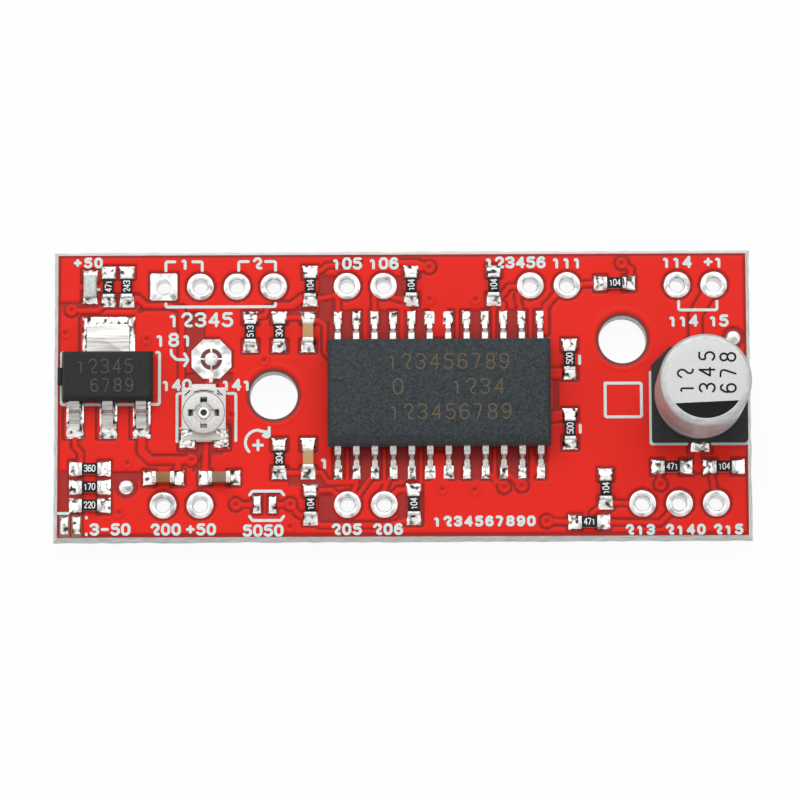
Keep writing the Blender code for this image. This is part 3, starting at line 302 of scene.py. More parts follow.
def roundedLoop(centre, halfX, halfY, radius, z, steps=4):
    points = []
    radius = min(radius, halfX, halfY)
    for quarter, (sx, sy) in enumerate(((1, 1), (-1, 1), (-1, -1), (1, -1))):
        for step in range(steps + 1):
            angle = math.radians(90 * quarter + 90 * step / steps)
            points.append((centre[0] + sx * (halfX - radius) + radius * math.cos(angle),
                           centre[1] + sy * (halfY - radius) + radius * math.sin(angle), z))
    return points


def roundLoop(centre, radius, z, steps):
    return [(centre[0] + radius * math.cos(2 * math.pi * i / steps),
             centre[1] + radius * math.sin(2 * math.pi * i / steps), z) for i in range(steps)]


def turned(bm, centre, profile, finishIndex=0, steps=64, ringClosed=False):
    # profile is (radius, height) pairs
    loft(bm, [roundLoop(centre, max(r, 0.001), z, steps) for r, z in profile], finishIndex, ringClosed)


def softBlock(bm, centre, half, z0, z1, edge=0.05, corner=0.05, finishIndex=0):
    # block with rounded edges, as stacked loops that draw in towards its bottom and top
    angles = [math.radians(degrees) for degrees in (0, 30, 60, 90)]
    loops = []
    for zEdge, sign, quarter in ((z0, 1, angles), (z1, -1, angles[::-1])):
        for a in quarter:
            inset = edge * (1 - math.sin(a))
            z = zEdge + sign * edge * (1 - math.cos(a))
            loops.append(roundedLoop(centre, half[0] - inset, half[1] - inset, max(corner - inset, 0.01), z))
    loft(bm, loops, finishIndex)


def patch(bm, centre, half, height, base, nx, ny):
    # closed lump over a rectangle; height(u, v) in -1..1 gives its top above base
    us, vs = [-1 + 2 * i / nx for i in range(nx + 1)], [-1 + 2 * j / ny for j in range(ny + 1)]

    def grid(lift):
        return [[bm.verts.new((centre[0] + u * half[0], centre[1] + v * half[1], base + lift(u,
                v))) for u in us]
                for v in vs]
    top, under = grid(height), grid(lambda u, v: 0)
    for j in range(ny):
        for i in range(nx):
            bm.faces.new((top[j][i], top[j][i + 1], top[j + 1][i + 1], top[j + 1][i]))
            bm.faces.new((under[j][i], under[j + 1][i], under[j + 1][i + 1], under[j][i + 1]))
    rim = [(0, i) for i in range(nx + 1)] + [(j, nx) for j in range(1, ny + 1)] \
        + [(ny, i) for i in range(nx - 1, -1, -1)] + [(j, 0) for j in range(ny - 1, 0, -1)]
    for (a, b), (c, d) in zip(rim, rim[1:] + rim[:1]):
        bm.faces.new((top[a][b], under[a][b], under[c][d], top[c][d]))


def geometryTree(name, inputs):
    tree = bpy.data.node_groups.new(name, "GeometryNodeTree")
    tree.interface.new_socket("Geometry", in_out="INPUT", socket_type="NodeSocketGeometry")
    for label, kind in inputs:
        tree.interface.new_socket(label, in_out="INPUT", socket_type="NodeSocket" + kind)
    tree.interface.new_socket("Geometry", in_out="OUTPUT", socket_type="NodeSocketGeometry")
    return tree, tree.nodes.new("NodeGroupInput"), tree.nodes.new("NodeGroupOutput")


def endTree(tree, out, geometry, material):
    real = addNode(tree, "GeometryNodeRealizeInstances", Geometry=geometry)
    done = addNode(tree, "GeometryNodeSetMaterial", Geometry=real.outputs[0], Material=material)
    tree.links.new(done.outputs[0], out.inputs[0])


def runTree(holder, tree, values, name):
    # gives the modifier its inputs by identifier, then keeps the result as a plain mesh
    modifier = holder.modifiers.new(name, "NODES")
    modifier.node_group = tree
    for item in tree.interface.items_tree:
        if item.item_type == "SOCKET" and item.in_out == "INPUT" and item.name in values:
            modifier[item.identifier] = values[item.name]
    bpy.context.view_layer.update()
    depsgraph = bpy.context.evaluated_depsgraph_get()
    mesh = bpy.data.meshes.new_from_object(holder.evaluated_get(depsgraph), preserve_all_data_layers=True,
                                           depsgraph=depsgraph)
    holder.modifiers.remove(modifier)
    data = holder.data
    bpy.data.objects.remove(holder, do_unlink=True)
    if isinstance(data, bpy.types.Mesh):
        bpy.data.meshes.remove(data)
    mesh.name = name
    return mesh


def tidyMesh(mesh, angle=40):
    mesh.shade_smooth()
    mesh.set_sharp_from_angle(angle=math.radians(angle))
    return mesh


def carve(name, bm, key, cutterBm, angle=30, selfCut=True):
    # cuts one closed shape out of another and returns the mesh
    body = inScene(name, asMesh(name, bm, [key], angle))
    tool = inScene(name + "_tool", asMesh(name + "_tool", cutterBm, [key]))
    cut = body.modifiers.new("carve", "BOOLEAN")
    cut.object, cut.solver, cut.use_self = tool, "EXACT", selfCut
    bpy.context.view_layer.update()
    made = bpy.data.meshes.new_from_object(body.evaluated_get(bpy.context.evaluated_depsgraph_get()))
    for spare in (body, tool):
        bpy.data.objects.remove(spare, do_unlink=True)
    made.name = name
    return tidyMesh(made, angle)


# board layout, in millimetres from the board's centre
board = {
    "pitch": 2.54, "columns": 16, "inset": 2.54, "holeRadius": 0.51, "padRadius": 0.95,
    "topColumns": (0, 1, 2, 3, 5, 6, 10, 11, 14, 15), "bottomColumns": (0, 1, 5, 6, 13, 14, 15),
    "snapBevel": 0.3, "maskInset": 0.32, "copperRise": 0.035, "maskRise": 0.02,
    "mountRadius": 1.65, "clearance": 0.16,
}
chipX = middle("driver_package")[0]
rowTop, rowBottom = boardHalfY - board["inset"], -boardHalfY + board["inset"]


def headerX(column):
    return chipX + (column - 7.5) * board["pitch"]


topPads = [(headerX(c), rowTop) for c in board["topColumns"]]
bottomPads = [(headerX(c), rowBottom) for c in board["bottomColumns"]]
mounts = [(-boardHalfX + 15.24, 0.0), (boardHalfX - 8.89, 3.81)]


pins = {"pitch": 1.27, "padY": 5.35, "padHalf": 0.3, "wide": (6, 7, 18, 19), "widePadHalf": 0.38}
regulatorPins = (-2.3, 0, 2.3)


def pinX(n):
    # leads 1 to 12 run left to right along the front, 13 to 24 right to left along the back
    return chipX + ((n - 1 if n <= 12 else 24 - n) - 5.5) * pins["pitch"]


def pinPad(n):
    return (pinX(n), -pins["padY"] if n <= 12 else pins["padY"])


def pinPadHalf(n):
    return pins["widePadHalf"] if n in pins["wide"] else pins["padHalf"]


# chip parts and their printed numbers: the upright ones lie along Y, the flat ones along X
uprightParts = {
    "light_resistor": "471", "regulator_feedback_resistor": "243", "enable_pull_resistor": "104",
    "reset_pull_resistor": "104", "sleep_pull_resistor": "104", "driver_timing_resistor_a": "513",
    "reference_resistor": "304", "driver_timing_resistor_b": "304", "sense_resistor_a": "500",
    "sense_resistor_b": "500", "mode_pull_resistor_b": "104", "step_pull_resistor": "104",
    "direction_pull_resistor": "104",
}
flatParts = {
    "step_series_resistor": "104", "direction_series_resistor": "471", "mode_pull_resistor_a": "104",
    "mode_pull_resistor_c": "471", "bias_resistor_1": "220", "bias_resistor_2": "170", "bias_resistor_3": "360",
}
ceramics = {
    "driver_timing_capacitor_a": ("tan", True), "driver_timing_capacitor_b": ("tan", True),
    "supply_filter_capacitor": ("amber", False), "logic_filter_capacitor": ("brown", False),
}
padPairs = [(middle(n), True) for n in uprightParts] + [(middle(n), False) for n in flatParts] \
    + [(middle(n), up) for n, (_, up) in ceramics.items()] + [(middle("light_carrier"), True)]
padOut, padHalfLong, padHalfWide = 0.99, 0.44, 0.54


def padOutOf(place):
    return 0.74 if place == middle("light_carrier") else padOut  # the light sits on closer pads


regX, regY = middle("regulator_package")
trimX, trimY = middle("trimmer_rotor")
canX, canY = middle("capacitor_can")
testPoint = (-13.2, 2.54)
vias = [(-22.89, 6.0), (-23.3, 4.4), (-17.7, 3.95), (-9.56, 2.47), (1.9, 8.92), (1.9, 6.67), (5.09, 6.66),
        (15.24, 9.15), (17.77, -6.32), (9.9, -8.85), (-19.0, -4.66), (-19.55, -8.12), (-14.55, -4.49),
        (-11.5, -7.6), (-7.75, -7.6), (-7.77, -9.15), (2.72, -6.58), (4.95, -6.63), (6.99, -6.45), (8.2,
                -6.36),
        (-11.85, -1.35)]
ringedVias = {0, 4, 7, 8, 9, 12, 13, 14, 18, 19}  # these stand clear of the ground copper round them
fiducials = [(-19.05, -6.35), (22.89, 3.89)]
jumpers = [(-10.04, -7.6), (-8.97, -7.6)]
cornerJumpers = [(-23.3, -9.0), (-22.46, -9.0)]


def padOf(node, end):
    # end is -1 for the lower or left pad, 1 for the upper or right one
    x, y = middle(node)
    up = node in uprightParts or (node in ceramics and ceramics[node][1]) or node == "light_carrier"
    reach = end * padOutOf((x, y))
    return (x, y + reach) if up else (x + reach, y)


# traces: half width, then the points that they pass through
routes = [
    (0.17, (-22.89, 6.0), (-21.1, 5.94), (-20.32, 6.63)),
    (0.2, padOf("regulator_feedback_resistor", -1), (-18.3, 6.85), (-17.75, 6.3), (-16.4, 6.3), (-15.25, 6.1),
     (-15.25, 0.9), (-15.25, -2.6)),
    (0.2, (-13.6, 0.5), (-13.2, 1.2)),
    (0.15, padOf("driver_timing_resistor_a", 1), (-9.5, 5.55), (-9.3, 6.1)),
    (0.15, padOf("reference_resistor", 1), padOf("driver_timing_capacitor_a", 1)),
    (0.15, padOf("driver_timing_capacitor_a", 1), (-5.75, 5.2), (-5.35, 4.85), (-5.35, 3.0), (-4.9, 2.5)),
    (0.25, (-8.7, 6.25), (-7.6, 6.25), (-7.0, 6.75)),
    (0.15, padOf("enable_pull_resistor", 1), (-5.6, 8.7), (-5.2, 9.05), (-3.0, 9.3)),
    (0.15, padOf("enable_pull_resistor", -1), (-4.6, 6.95), topPads[4]),
    (0.17, topPads[4], (-4.46, 6.8), pinPad(24)), (0.17, topPads[5], (-1.92, 6.9), pinPad(22)),
    (0.17, (0.0, 6.66), (-0.6, 6.8), topPads[5]), (0.15, (0.1, 6.6), pinPad(20)),
    (0.17, (1.9, 8.92), (0.8, 8.75)), (0.2, (-0.5, 9.25), (1.0, 9.25), (1.9, 8.92)),
    (0.17, padOf("sleep_pull_resistor", -1), (7.0, 6.95), (7.4, 7.5), topPads[6]),
    (0.17, (6.4, 6.5), (7.0, 6.3), pinPad(15)), (0.17, topPads[7], (10.5, 6.85), pinPad(13)),
    (0.17, topPads[6], (8.0, 6.9), pinPad(14)),
    (0.17, topPads[7], (11.3, 7.62), padOf("step_series_resistor", -1)),
    (0.17, padOf("step_series_resistor", 1), (15.9, 8.7), (15.24, 9.15)),
    (0.17, topPads[7], (9.95, 6.2), (9.95, 4.3)),
    (0.42, topPads[9], (20.3, 5.5), (20.3, 3.4)),
    (0.35, (9.6, 1.45), padOf("sense_resistor_a", -1)), (0.35, (9.6, -1.65), padOf("sense_resistor_b", 1)),
    (0.17, (-22.62, -2.6), (-22.62, -3.5), (-22.2, -4.0), (-22.2, -5.0)),
    (0.27, (-18.0, -2.6), (-18.0, -3.9), (-17.4, -4.49), (-14.55, -4.49)),
    (0.2, (-15.5, -4.49), padOf("supply_filter_capacitor", 1)),
    (0.2, (-13.55, -3.3), padOf("logic_filter_capacitor", -1)),
    (0.17, (-11.5, -7.6), jumpers[0]), (0.17, jumpers[1], (-7.75, -7.6)),
    (0.17, (-7.75, -7.6), (-7.2, -8.3), padOf("step_pull_resistor", -1)),
    (0.17, padOf("step_pull_resistor", -1), (-5.7, -9.05), (-0.9, -9.05), padOf("direction_pull_resistor",
            -1)),
    (0.15, padOf("driver_timing_resistor_b", -1), padOf("driver_timing_capacitor_b", -1)),
    (0.15, padOf("driver_timing_capacitor_b", -1), (-5.6, -5.4), (-5.2, -6.08), (-3.5, -6.08), pinPad(2)),
    (0.15, padOf("step_pull_resistor", 1), (-4.9, -6.6), bottomPads[2]),
    (0.15, pinPad(2), (-3.2, -6.3), bottomPads[2]), (0.15, pinPad(3), (-3.0, -6.9), bottomPads[2]),
    (0.15, pinPad(4), (-1.3, -6.6), bottomPads[3]),
    (0.17, padOf("direction_pull_resistor", 1), (-0.3, -6.6), bottomPads[3]),
    (0.17, (6.99, -6.45), pinPad(9)), (0.17, (8.2, -6.36), pinPad(10)),
    (0.17, (9.9, -8.86), padOf("mode_pull_resistor_c", -1)),
    (0.17, padOf("mode_pull_resistor_c", 1), (17.7, -9.0), bottomPads[5]),
    (0.15, padOf("mode_pull_resistor_b", -1), (13.0, -8.3)), (0.15, padOf("mode_pull_resistor_b", -1),
                                                              bottomPads[4]),
    (0.17, padOf("direction_series_resistor", 1), padOf("mode_pull_resistor_a", -1)),
    (0.2, (20.32, -3.9), (20.32, -5.3)), (0.15, padOf("direction_series_resistor", -1), (17.77, -6.32)),
    (0.17, padOf("mode_pull_resistor_a", -1), (21.4, -6.3), bottomPads[6]),
    (0.17, (9.0, -5.5), (9.0, -4.4)),
]
# patches with no copper under the mask: left, bottom, right, top
bare = [(-15.05, 3.2, -13.65, 5.9), (-15.05, 0.9, -11.7, 1.6), (-5.75, 7.05, -4.7, 8.4), (-5.75, 5.2, -4.85,
        6.8),
        (-5.1, 3.6, -4.7, 5.5), (-7.9, 5.6, -6.9, 6.05), (-0.65, 6.9, 0.1, 8.3), (-23.7, -8.1, -22.9, -5.2),
        (-20.2, -6.6, -19.7, -5.25), (-19.9, -5.95, -17.9, -5.25), (-7.9, -6.3, -5.3, -5.6), (-5.9, -8.8,
                -4.4, -6.9),
        (-0.4, -9.1, 1.5, -6.8), (-15.0, -4.1, -12.4, -3.3), (-14.5, -5.3, -13.9, -4.9),
        (-18.3, 5.8, -17.9, 6.15), (-23.7, 6.2, -21.0, 6.6), (10.4, -1.1, 10.8, 1.0)]
# strips round the driver leads with no ground copper; copperGap puts fingers of it back between some leads
leadStrips = [(-4.9, 3.6, 10.0, 5.95), (-4.9, -5.95, 10.0, -3.6)]


# distances to the copper's edges
def segmentGap(x, y, a, b):
    dx, dy = b[0] - a[0], b[1] - a[1]
    t = np.clip(((x - a[0]) * dx + (y - a[1]) * dy) / max(dx * dx + dy * dy, 1e-9), 0, 1)
    return np.hypot(x - a[0] - t * dx, y - a[1] - t * dy)


def boxGap(x, y, low, high):
    qx = np.abs(x - (low[0] + high[0]) / 2) - (high[0] - low[0]) / 2
    qy = np.abs(y - (low[1] + high[1]) / 2) - (high[1] - low[1]) / 2
    return np.hypot(np.maximum(qx, 0), np.maximum(qy, 0)) + np.minimum(np.maximum(qx, qy), 0)


def squareGap(x, y, centre, halfX, halfY):
    return boxGap(x, y, (centre[0] - halfX, centre[1] - halfY), (centre[0] + halfX, centre[1] + halfY))


def copperGap(x, y, upper=True):
    # below 0 inside copper, above 0 outside it
    signal = np.full_like(x, 9.0)
    pads = [np.hypot(x - px, y - py) - board["padRadius"] for px, py in topPads[1:] + bottomPads]
    pads.append(squareGap(x, y, topPads[0], 0.95, 0.95))
    ground = boxGap(x, y, (-boardHalfX + 0.45, -boardHalfY + 0.55), (boardHalfX - 0.45, boardHalfY - 0.5))
    if upper:
        for (px, py), up in padPairs:
            for end in (-1, 1):
                reach = end * padOutOf((px, py))
                place = (px, py + reach) if up else (px + reach, py)
                pads.append(squareGap(x, y, place, *((padHalfWide, padHalfLong) if up else
                                                     (padHalfLong, padHalfWide))))
        pads += [squareGap(x, y, pinPad(n), pinPadHalf(n), 0.5) for n in range(1, 25)]
        pads += [squareGap(x, y, place, 0.3, 0.64) for place in jumpers + cornerJumpers]
        pads += [squareGap(x, y, (regX + dx, -1.6), 0.63, 1.35) for dx in regulatorPins]
        pads.append(squareGap(x, y, (regX, 4.1), 1.83, 1.4))
        pads.append(np.maximum(squareGap(x, y, testPoint, 1.39, 1.39),
                               (np.abs(x - testPoint[0]) + np.abs(y - testPoint[1])) - 1.98))
        pads += [squareGap(x, y, (trimX + side * 1.15, -2.95), 0.6, 0.85) for side in (-1, 1)]
        pads.append(squareGap(x, y, (trimX, 0.3), 0.85, 0.5))
        pads.append(squareGap(x, y, (canX, canY - 3.3), 0.75, 0.7))
        pads.append(squareGap(x, y, (canX, canY + 3.3), 0.75, 0.7))
        pads += [np.hypot(x - px, y - py) - 0.5 for px, py in fiducials]
        lines = routes
    else:
        lines = underRoutes
    for half, *points in lines:
        for a, b in zip(points, points[1:]):
            signal = np.minimum(signal, segmentGap(x, y, a, b) - half)
    for number, (px, py) in enumerate(vias):
        if number in ringedVias:
            signal = np.minimum(signal, np.hypot(x - px, y - py) - 0.42)
    for gap in pads:
        signal = np.minimum(signal, gap)
    ground = np.maximum(ground, board["clearance"] - signal)
    for px, py in mounts:
        ground = np.maximum(ground, board["mountRadius"] + 0.2 - np.hypot(x - px, y - py))
    if upper:
        for left, bottom, right, top in bare + leadStrips:
            ground = np.maximum(ground, -boxGap(x, y, (left, bottom), (right, top)))
        for n in (1, 3, 5, 9, 11, 13, 15, 17, 20, 22):  # ground fingers between leads
            side = -1 if n <= 12 else 1
            ground = np.minimum(ground, squareGap(x, y, (pinX(n) + side * -0.635, side * 5.0), 0.13, 1.3))
        for left, right, side in ((pinX(6) + 0.3, pinX(7) - 0.3, -1), (pinX(19) + 0.3, pinX(18) - 0.3, 1)):
            ground = np.minimum(ground, boxGap(x, y, (left - 0.3, min(side * 4.0, side * 6.3)),
                                               (right + 0.3, max(side * 4.0, side * 6.3))))
        for px, py in fiducials:
            ground = np.maximum(ground, 0.8 - np.hypot(x - px, y - py))
    return np.minimum(signal, ground)


underRoutes = [
    (0.2, (-22.89, 6.0), (-19.5, 6.0), (-18.2, 4.7), (-18.2, -3.5), (-14.55, -4.49)),
    (0.17, (1.9, 8.92), (3.2, 8.92), (4.6, 7.5), (4.6, -5.2), (6.99, -6.45)),
    (0.17, (15.24, 9.15), (12.9, 9.15), (7.1, 3.4), (7.1, -5.2), (8.2, -6.36)),
    (0.17, (17.77, -6.32), (15.6, -4.1), (-1.2, -4.1), (-4.7, -7.6), bottomPads[2]),
    (0.17, (9.9, -8.85), (8.6, -8.85), (7.9, -8.2), (2.9, -8.2), (1.4, -9.05), (-6.0, -9.05), (-7.75, -7.6)),
    (0.35, (-11.5, -7.6), (-11.5, -3.2), (-12.9, -1.8), (-12.9, 4.2), topPads[0]),
    (0.4, topPads[9], (21.0, 6.0), (19.4, 4.4), (19.4, -2.4), (17.0, -4.8), (12.0, -4.9)),
    (0.3, topPads[1], (-13.97, 5.4), (-12.0, 3.4), (-6.4, 3.4), (-3.4, 0.4), (-3.4, -1.0)),
    (0.3, topPads[2], (-11.43, 5.6), (-10.2, 4.4), (-5.6, 4.4), (-2.0, 0.8), (-2.0, -1.0)),
    (0.3, topPads[3], (-8.89, 6.4), (-7.8, 5.4), (-5.0, 5.4), (-0.6, 1.0), (-0.6, -1.0)),
    (0.17, topPads[7], (11.43, 6.2), (9.2, 4.0), (9.2, -3.0)),
    (0.17, bottomPads[3], (-1.27, -6.2), (0.6, -4.9), (11.6, -4.9)),
]


def maskSheet(name, cell, upper):
    # a film whose surface rises over the copper, as one closed slab with its holes left open
    xEdge, yEdge = boardHalfX - board["maskInset"], boardHalfY - board["maskInset"]
    nx, ny = int(2 * xEdge / cell), int(2 * yEdge / cell)
    xs, ys = np.linspace(-xEdge, xEdge, nx + 1), np.linspace(-yEdge, yEdge, ny + 1)
    x, y = [v.astype(float) for v in np.meshgrid(xs, ys)]
    holes = [(px, py, board["mountRadius"] + 0.12) for px, py in mounts] \
        + [(px, py, board["holeRadius"] + 0.12) for px, py in topPads + bottomPads]
    step = xs[1] - xs[0]
    inside = np.zeros_like(x, bool)
    for px, py, radius in holes:  # the grid is drawn to each hole's edge
        far = np.hypot(x - px, y - py)
        near = (np.abs(far - radius) < 0.62 * step) & (far > 0)
        pull = np.where(near, radius / np.maximum(far, 1e-6), 1.0)
        x, y = px + (x - px) * pull, py + (y - py) * pull
        inside |= (far < radius - 0.62 * step)
    gap = copperGap(x, y, upper)
    over = np.clip(0.5 - gap / 0.16, 0, 1)
    over = over * over * (3 - 2 * over)
    rise = board["maskRise"] + board["copperRise"] * over
    # edge: painted shade, a dark line just outside each copper edge at the foot of the step
    edge = np.exp(-((gap - 0.045) / 0.045) ** 2)
    for px, py in vias:
        far = np.hypot(x - px, y - py)
        rise += 0.03 * np.exp(-((far - 0.3) / 0.09) ** 2) - 0.05 * np.exp(-(far / 0.13) ** 2)
        # painted shade in each via's dip and along its ring's edge
        edge = np.maximum(edge,
                          0.85 * np.exp(-(far / 0.15) ** 2) + 0.25 * np.exp(-((far - 0.42) / 0.05) ** 2))
    for px, py in mounts:  # the film ends in a low lip round each hole
        far = np.hypot(x - px, y - py)
        rise += 0.02 * np.exp(-((far - 2.1) / 0.1) ** 2)
        over *= np.clip((far - 1.85) / 0.12, 0, 1)
    border = np.minimum(xEdge - np.abs(x), yEdge - np.abs(y))
    # painted shade as a dark line near the film's border
    edge = np.maximum(edge, 0.7 * np.exp(-((border - 0.16) / 0.05) ** 2))
    z = boardTop + rise if upper else -rise
    mesh = bpy.data.meshes.new(name)
    index = -np.ones(x.shape, int)
    keepFace = ~(inside[:-1, :-1] | inside[1:, :-1] | inside[:-1, 1:] | inside[1:, 1:])
    used = np.zeros_like(inside)
    for dj in (0, 1):
        for di in (0, 1):
            used[dj:dj + ny, di:di + nx] |= keepFace
    index[used] = np.arange(used.sum())
    a, b = index[:-1, :-1][keepFace], index[:-1, 1:][keepFace]
    c, d = index[1:, 1:][keepFace], index[1:, :-1][keepFace]
    quads = np.stack((a, b, c, d) if upper else (d, c, b, a), 1)
    mesh.from_pydata(np.stack((x[used], y[used], z[used]), 1) * mm, [], quads.tolist())
    for label, values in (("copper", over), ("edge", edge)):
        layer = mesh.attributes.new(label, "FLOAT", "POINT")
        layer.data.foreach_set("value", values[used].astype(np.float32))
    bm = bmesh.new()
    bm.from_mesh(mesh)
    rims = [e for e in bm.edges if e.is_boundary]
    made = bmesh.ops.extrude_edge_only(bm, edges=rims)["geom"]
    flat = boardTop - 0.05 if upper else 0.05
    for vert in made:
        if isinstance(vert, bmesh.types.BMVert):
            vert.co.z = flat * mm
    low = [e for e in bm.edges if e.is_boundary]
    bmesh.ops.triangle_fill(bm, edges=low, use_beauty=False, use_dissolve=False,
                            normal=(0, 0, -1 if upper else 1))
    bm.to_mesh(mesh)
    bm.free()
    mesh.materials.append(finish["mask"])
    mesh.shade_smooth()
    mesh.set_sharp_from_angle(angle=math.radians(60))
    keepPiece(name, mesh)


# board core: snapped laminate with its holes
def makeCore():
    bm = bmesh.new()
    bevel, top, depth = board["snapBevel"], boardTop - 0.01, 0.5
    rng = random.Random(11)
    # the outline is walked in short steps so that the broken edge can be ragged
    outline = []
    corners = [(-1, -1), (1, -1), (1, 1), (-1, 1)]
    for (ax, ay), (bx, by) in zip(corners, corners[1:] + corners[:1]):
        length = 2 * (boardHalfX if ax != bx else boardHalfY)
        count = int(length / 0.35)
        for i in range(count):
            t = i / count
            outline.append((ax + (bx - ax) * t, ay + (by - ay) * t, i == 0))
    rags = [(0.0 if corner else rng.random()) for _, _, corner in outline]
    rags = [(rags[i - 1] + 2 * rags[i] + rags[(i + 1) % len(rags)]) / 4 for i in range(len(rags))]

    def loop(inset, z, rag):
        return [(x * (boardHalfX - inset - rag * r), y * (boardHalfY - inset - rag * r), z)
                for (x, y, _), r in zip(outline, rags)]
    loft(bm, [loop(bevel, 0.01, 0.03), loop(0.06, depth, 0.06), loop(0.0, depth + 0.05, 0.09),
              loop(0.0, top - depth - 0.05, 0.09), loop(0.06, top - depth, 0.06), loop(bevel, top, 0.03)])
    cutBm = bmesh.new()
    for px, py in mounts:
        turned(cutBm, (px, py), [(board["mountRadius"], -1), (board["mountRadius"], 3)], 0, 64)
    for px, py in topPads + bottomPads:
        turned(cutBm, (px, py), [(board["holeRadius"] + 0.03, -1), (board["holeRadius"] + 0.03, 3)], 0, 32)
    keepPiece("laminate_core", carve("laminate_core", bm, "laminate", cutBm, 30, False),
              ("circuit_board",))


makeCore()
maskSheet("solder_mask_upper", 0.11, True)
maskSheet("solder_mask_under", 0.16, False)
print("board and mask made")


# plated holes: one ring profile, swept round each hole place
def makePlatedHoles():
    rings = {"outer": board["padRadius"], "bore": board["holeRadius"], "rise": 0.1}
    tree, start, out = geometryTree("plated_holes", [("Pad radius", "Float"), ("Bore radius", "Float"),
                                                     ("Rise", "Float"), ("Thickness", "Float"), ("Finish",
                                                             "Material")])
    put = start.outputs
    # the profile is a rounded closed strip from the bore to the pad's rim, on both faces of the board
    circle = addNode(tree, "GeometryNodeCurvePrimitiveCircle", Resolution=48, Radius=1.0)
    half = addNode(tree, "ShaderNodeMath", {"operation": "SUBTRACT"}, i0=put["Pad radius"],
                   i1=put["Bore radius"])
    middleRadius = addNode(tree, "ShaderNodeMath", {"operation": "ADD"}, i0=put["Pad radius"],
                           i1=put["Bore radius"])
    halved = addNode(tree, "ShaderNodeMath", {"operation": "MULTIPLY"}, i0=middleRadius.outputs[0], i1=0.5)
    profile = addNode(tree, "GeometryNodeCurvePrimitiveQuadrilateral", {"mode": "RECTANGLE"},
                      Width=half.outputs[0], Height=put["Thickness"])
    rounded = addNode(tree, "GeometryNodeFilletCurve", {"mode": "POLY"}, Curve=profile.outputs[0],
                      Count=4, Radius=put["Rise"], Limit_Radius=True)
    scaled = addNode(tree, "GeometryNodeTransform", Geometry=circle.outputs[0],
                     Scale=addNode(tree, "ShaderNodeCombineXYZ", X=halved.outputs[0], Y=halved.outputs[0],
                                   Z=1.0).outputs[0])
    up = addNode(tree, "GeometryNodeSetCurveNormal", {"mode": "Z_UP"}, Curve=scaled.outputs[0])
    swept = addNode(tree, "GeometryNodeCurveToMesh", Curve=up.outputs[0], Profile_Curve=rounded.outputs[0])
    points = addNode(tree, "GeometryNodeMeshToPoints", Mesh=put["Geometry"])
    placed = addNode(tree, "GeometryNodeInstanceOnPoints", Points=points.outputs[0],
                     Instance=swept.outputs[0])
    endTree(tree, out, placed.outputs[0], put["Finish"])
    mesh = bpy.data.meshes.new("places")
    mesh.from_pydata([(x * mm, y * mm, boardTop / 2 * mm) for x, y in topPads[1:] + bottomPads], [], [])
    holder = inScene("places", mesh)
    made = runTree(holder, tree, {"Pad radius": rings["outer"] * mm, "Bore radius": rings["bore"] * mm,
                                  "Rise": rings["rise"] * mm, "Thickness": (boardTop + 0.14) * mm,
                                  "Finish": finish["tin"]}, "plated_holes")
    keepPiece("plated_holes", tidyMesh(made, 50))


makePlatedHoles()
print("plated holes made")


# bare tin: square pad, test point, fiducials, jumpers, mounting rims
tinTop = boardTop + 0.07


def makeBareTin():
    bm = bmesh.new()
    # square first pad, a plate with its bore
    x, y = topPads[0]
    loops = []
    for square, radius, z in ((1, 0, boardTop + 0.02), (1, 0, tinTop - 0.03), (1, 0.04, tinTop), (0, 0.04,
            tinTop),
                              (0, 0, tinTop - 0.03), (0, 0, -0.04), (0, 0.04, -0.07), (1, 0.04, -0.07),
                              (1, 0, -0.04), (1, 0, 0.0)):
        loop = []
        for i in range(48):
            angle = 2 * math.pi * (i + 0.5) / 48
            if square:
                reach = (0.95 - radius) / max(abs(math.cos(angle)), abs(math.sin(angle)))
            else:
                reach = board["holeRadius"] + radius
            loop.append((x + reach * math.cos(angle), y + reach * math.sin(angle), z))
        loops.append(loop)
    loft(bm, loops, 0, True)
    # fiducials are low domes
    for x, y in fiducials:
        turned(bm, (x, y), [(0.5, boardTop), (0.5, boardTop + 0.03), (0.46, boardTop + 0.07),
                            (0.36, boardTop + 0.12), (0.22, boardTop + 0.15), (0.08, boardTop + 0.16)], 0, 40)
    # test point: eight-sided pad with a centre dot held by four arms
    x, y = testPoint

    def eightSided(reach, z, count=64):
        loop = []
        for i in range(count):
            angle = 2 * math.pi * i / count
            fold = (angle + math.pi / 8) % (math.pi / 4) - math.pi / 8
            loop.append((x + reach / math.cos(fold) * math.cos(angle),
                         y + reach / math.cos(fold) * math.sin(angle), z))
        return loop

    def ringLoop(radius, z):
        return roundLoop((x, y), radius, z, 64)
    padTop = tinTop + 0.03
    loft(bm, [eightSided(1.39, boardTop), eightSided(1.39, padTop - 0.03), eightSided(1.35, padTop),
              ringLoop(0.78, padTop), ringLoop(0.74, padTop - 0.03), ringLoop(0.74, boardTop)], 0, True)
    turned(bm, (x, y), [(0.48, boardTop), (0.48, padTop - 0.03), (0.45, padTop), (0.1, padTop + 0.004)], 0,
           32)
    for quarter in range(4):
        angle = math.pi / 2 * quarter
        softBlock(bm, (x + 0.53 * math.cos(angle), y + 0.53 * math.sin(angle)),
                  (0.26, 0.06) if quarter % 2 == 0 else (0.06, 0.26), boardTop, padTop, 0.02, 0.02)
    softBlock(bm, (x - 0.02, y - 1.5), (0.12, 0.18), boardTop, tinTop, 0.02, 0.05)
    keepPiece("bare_tin_pads", asMesh("bare_tin_pads", bm, ["tin"], 35))


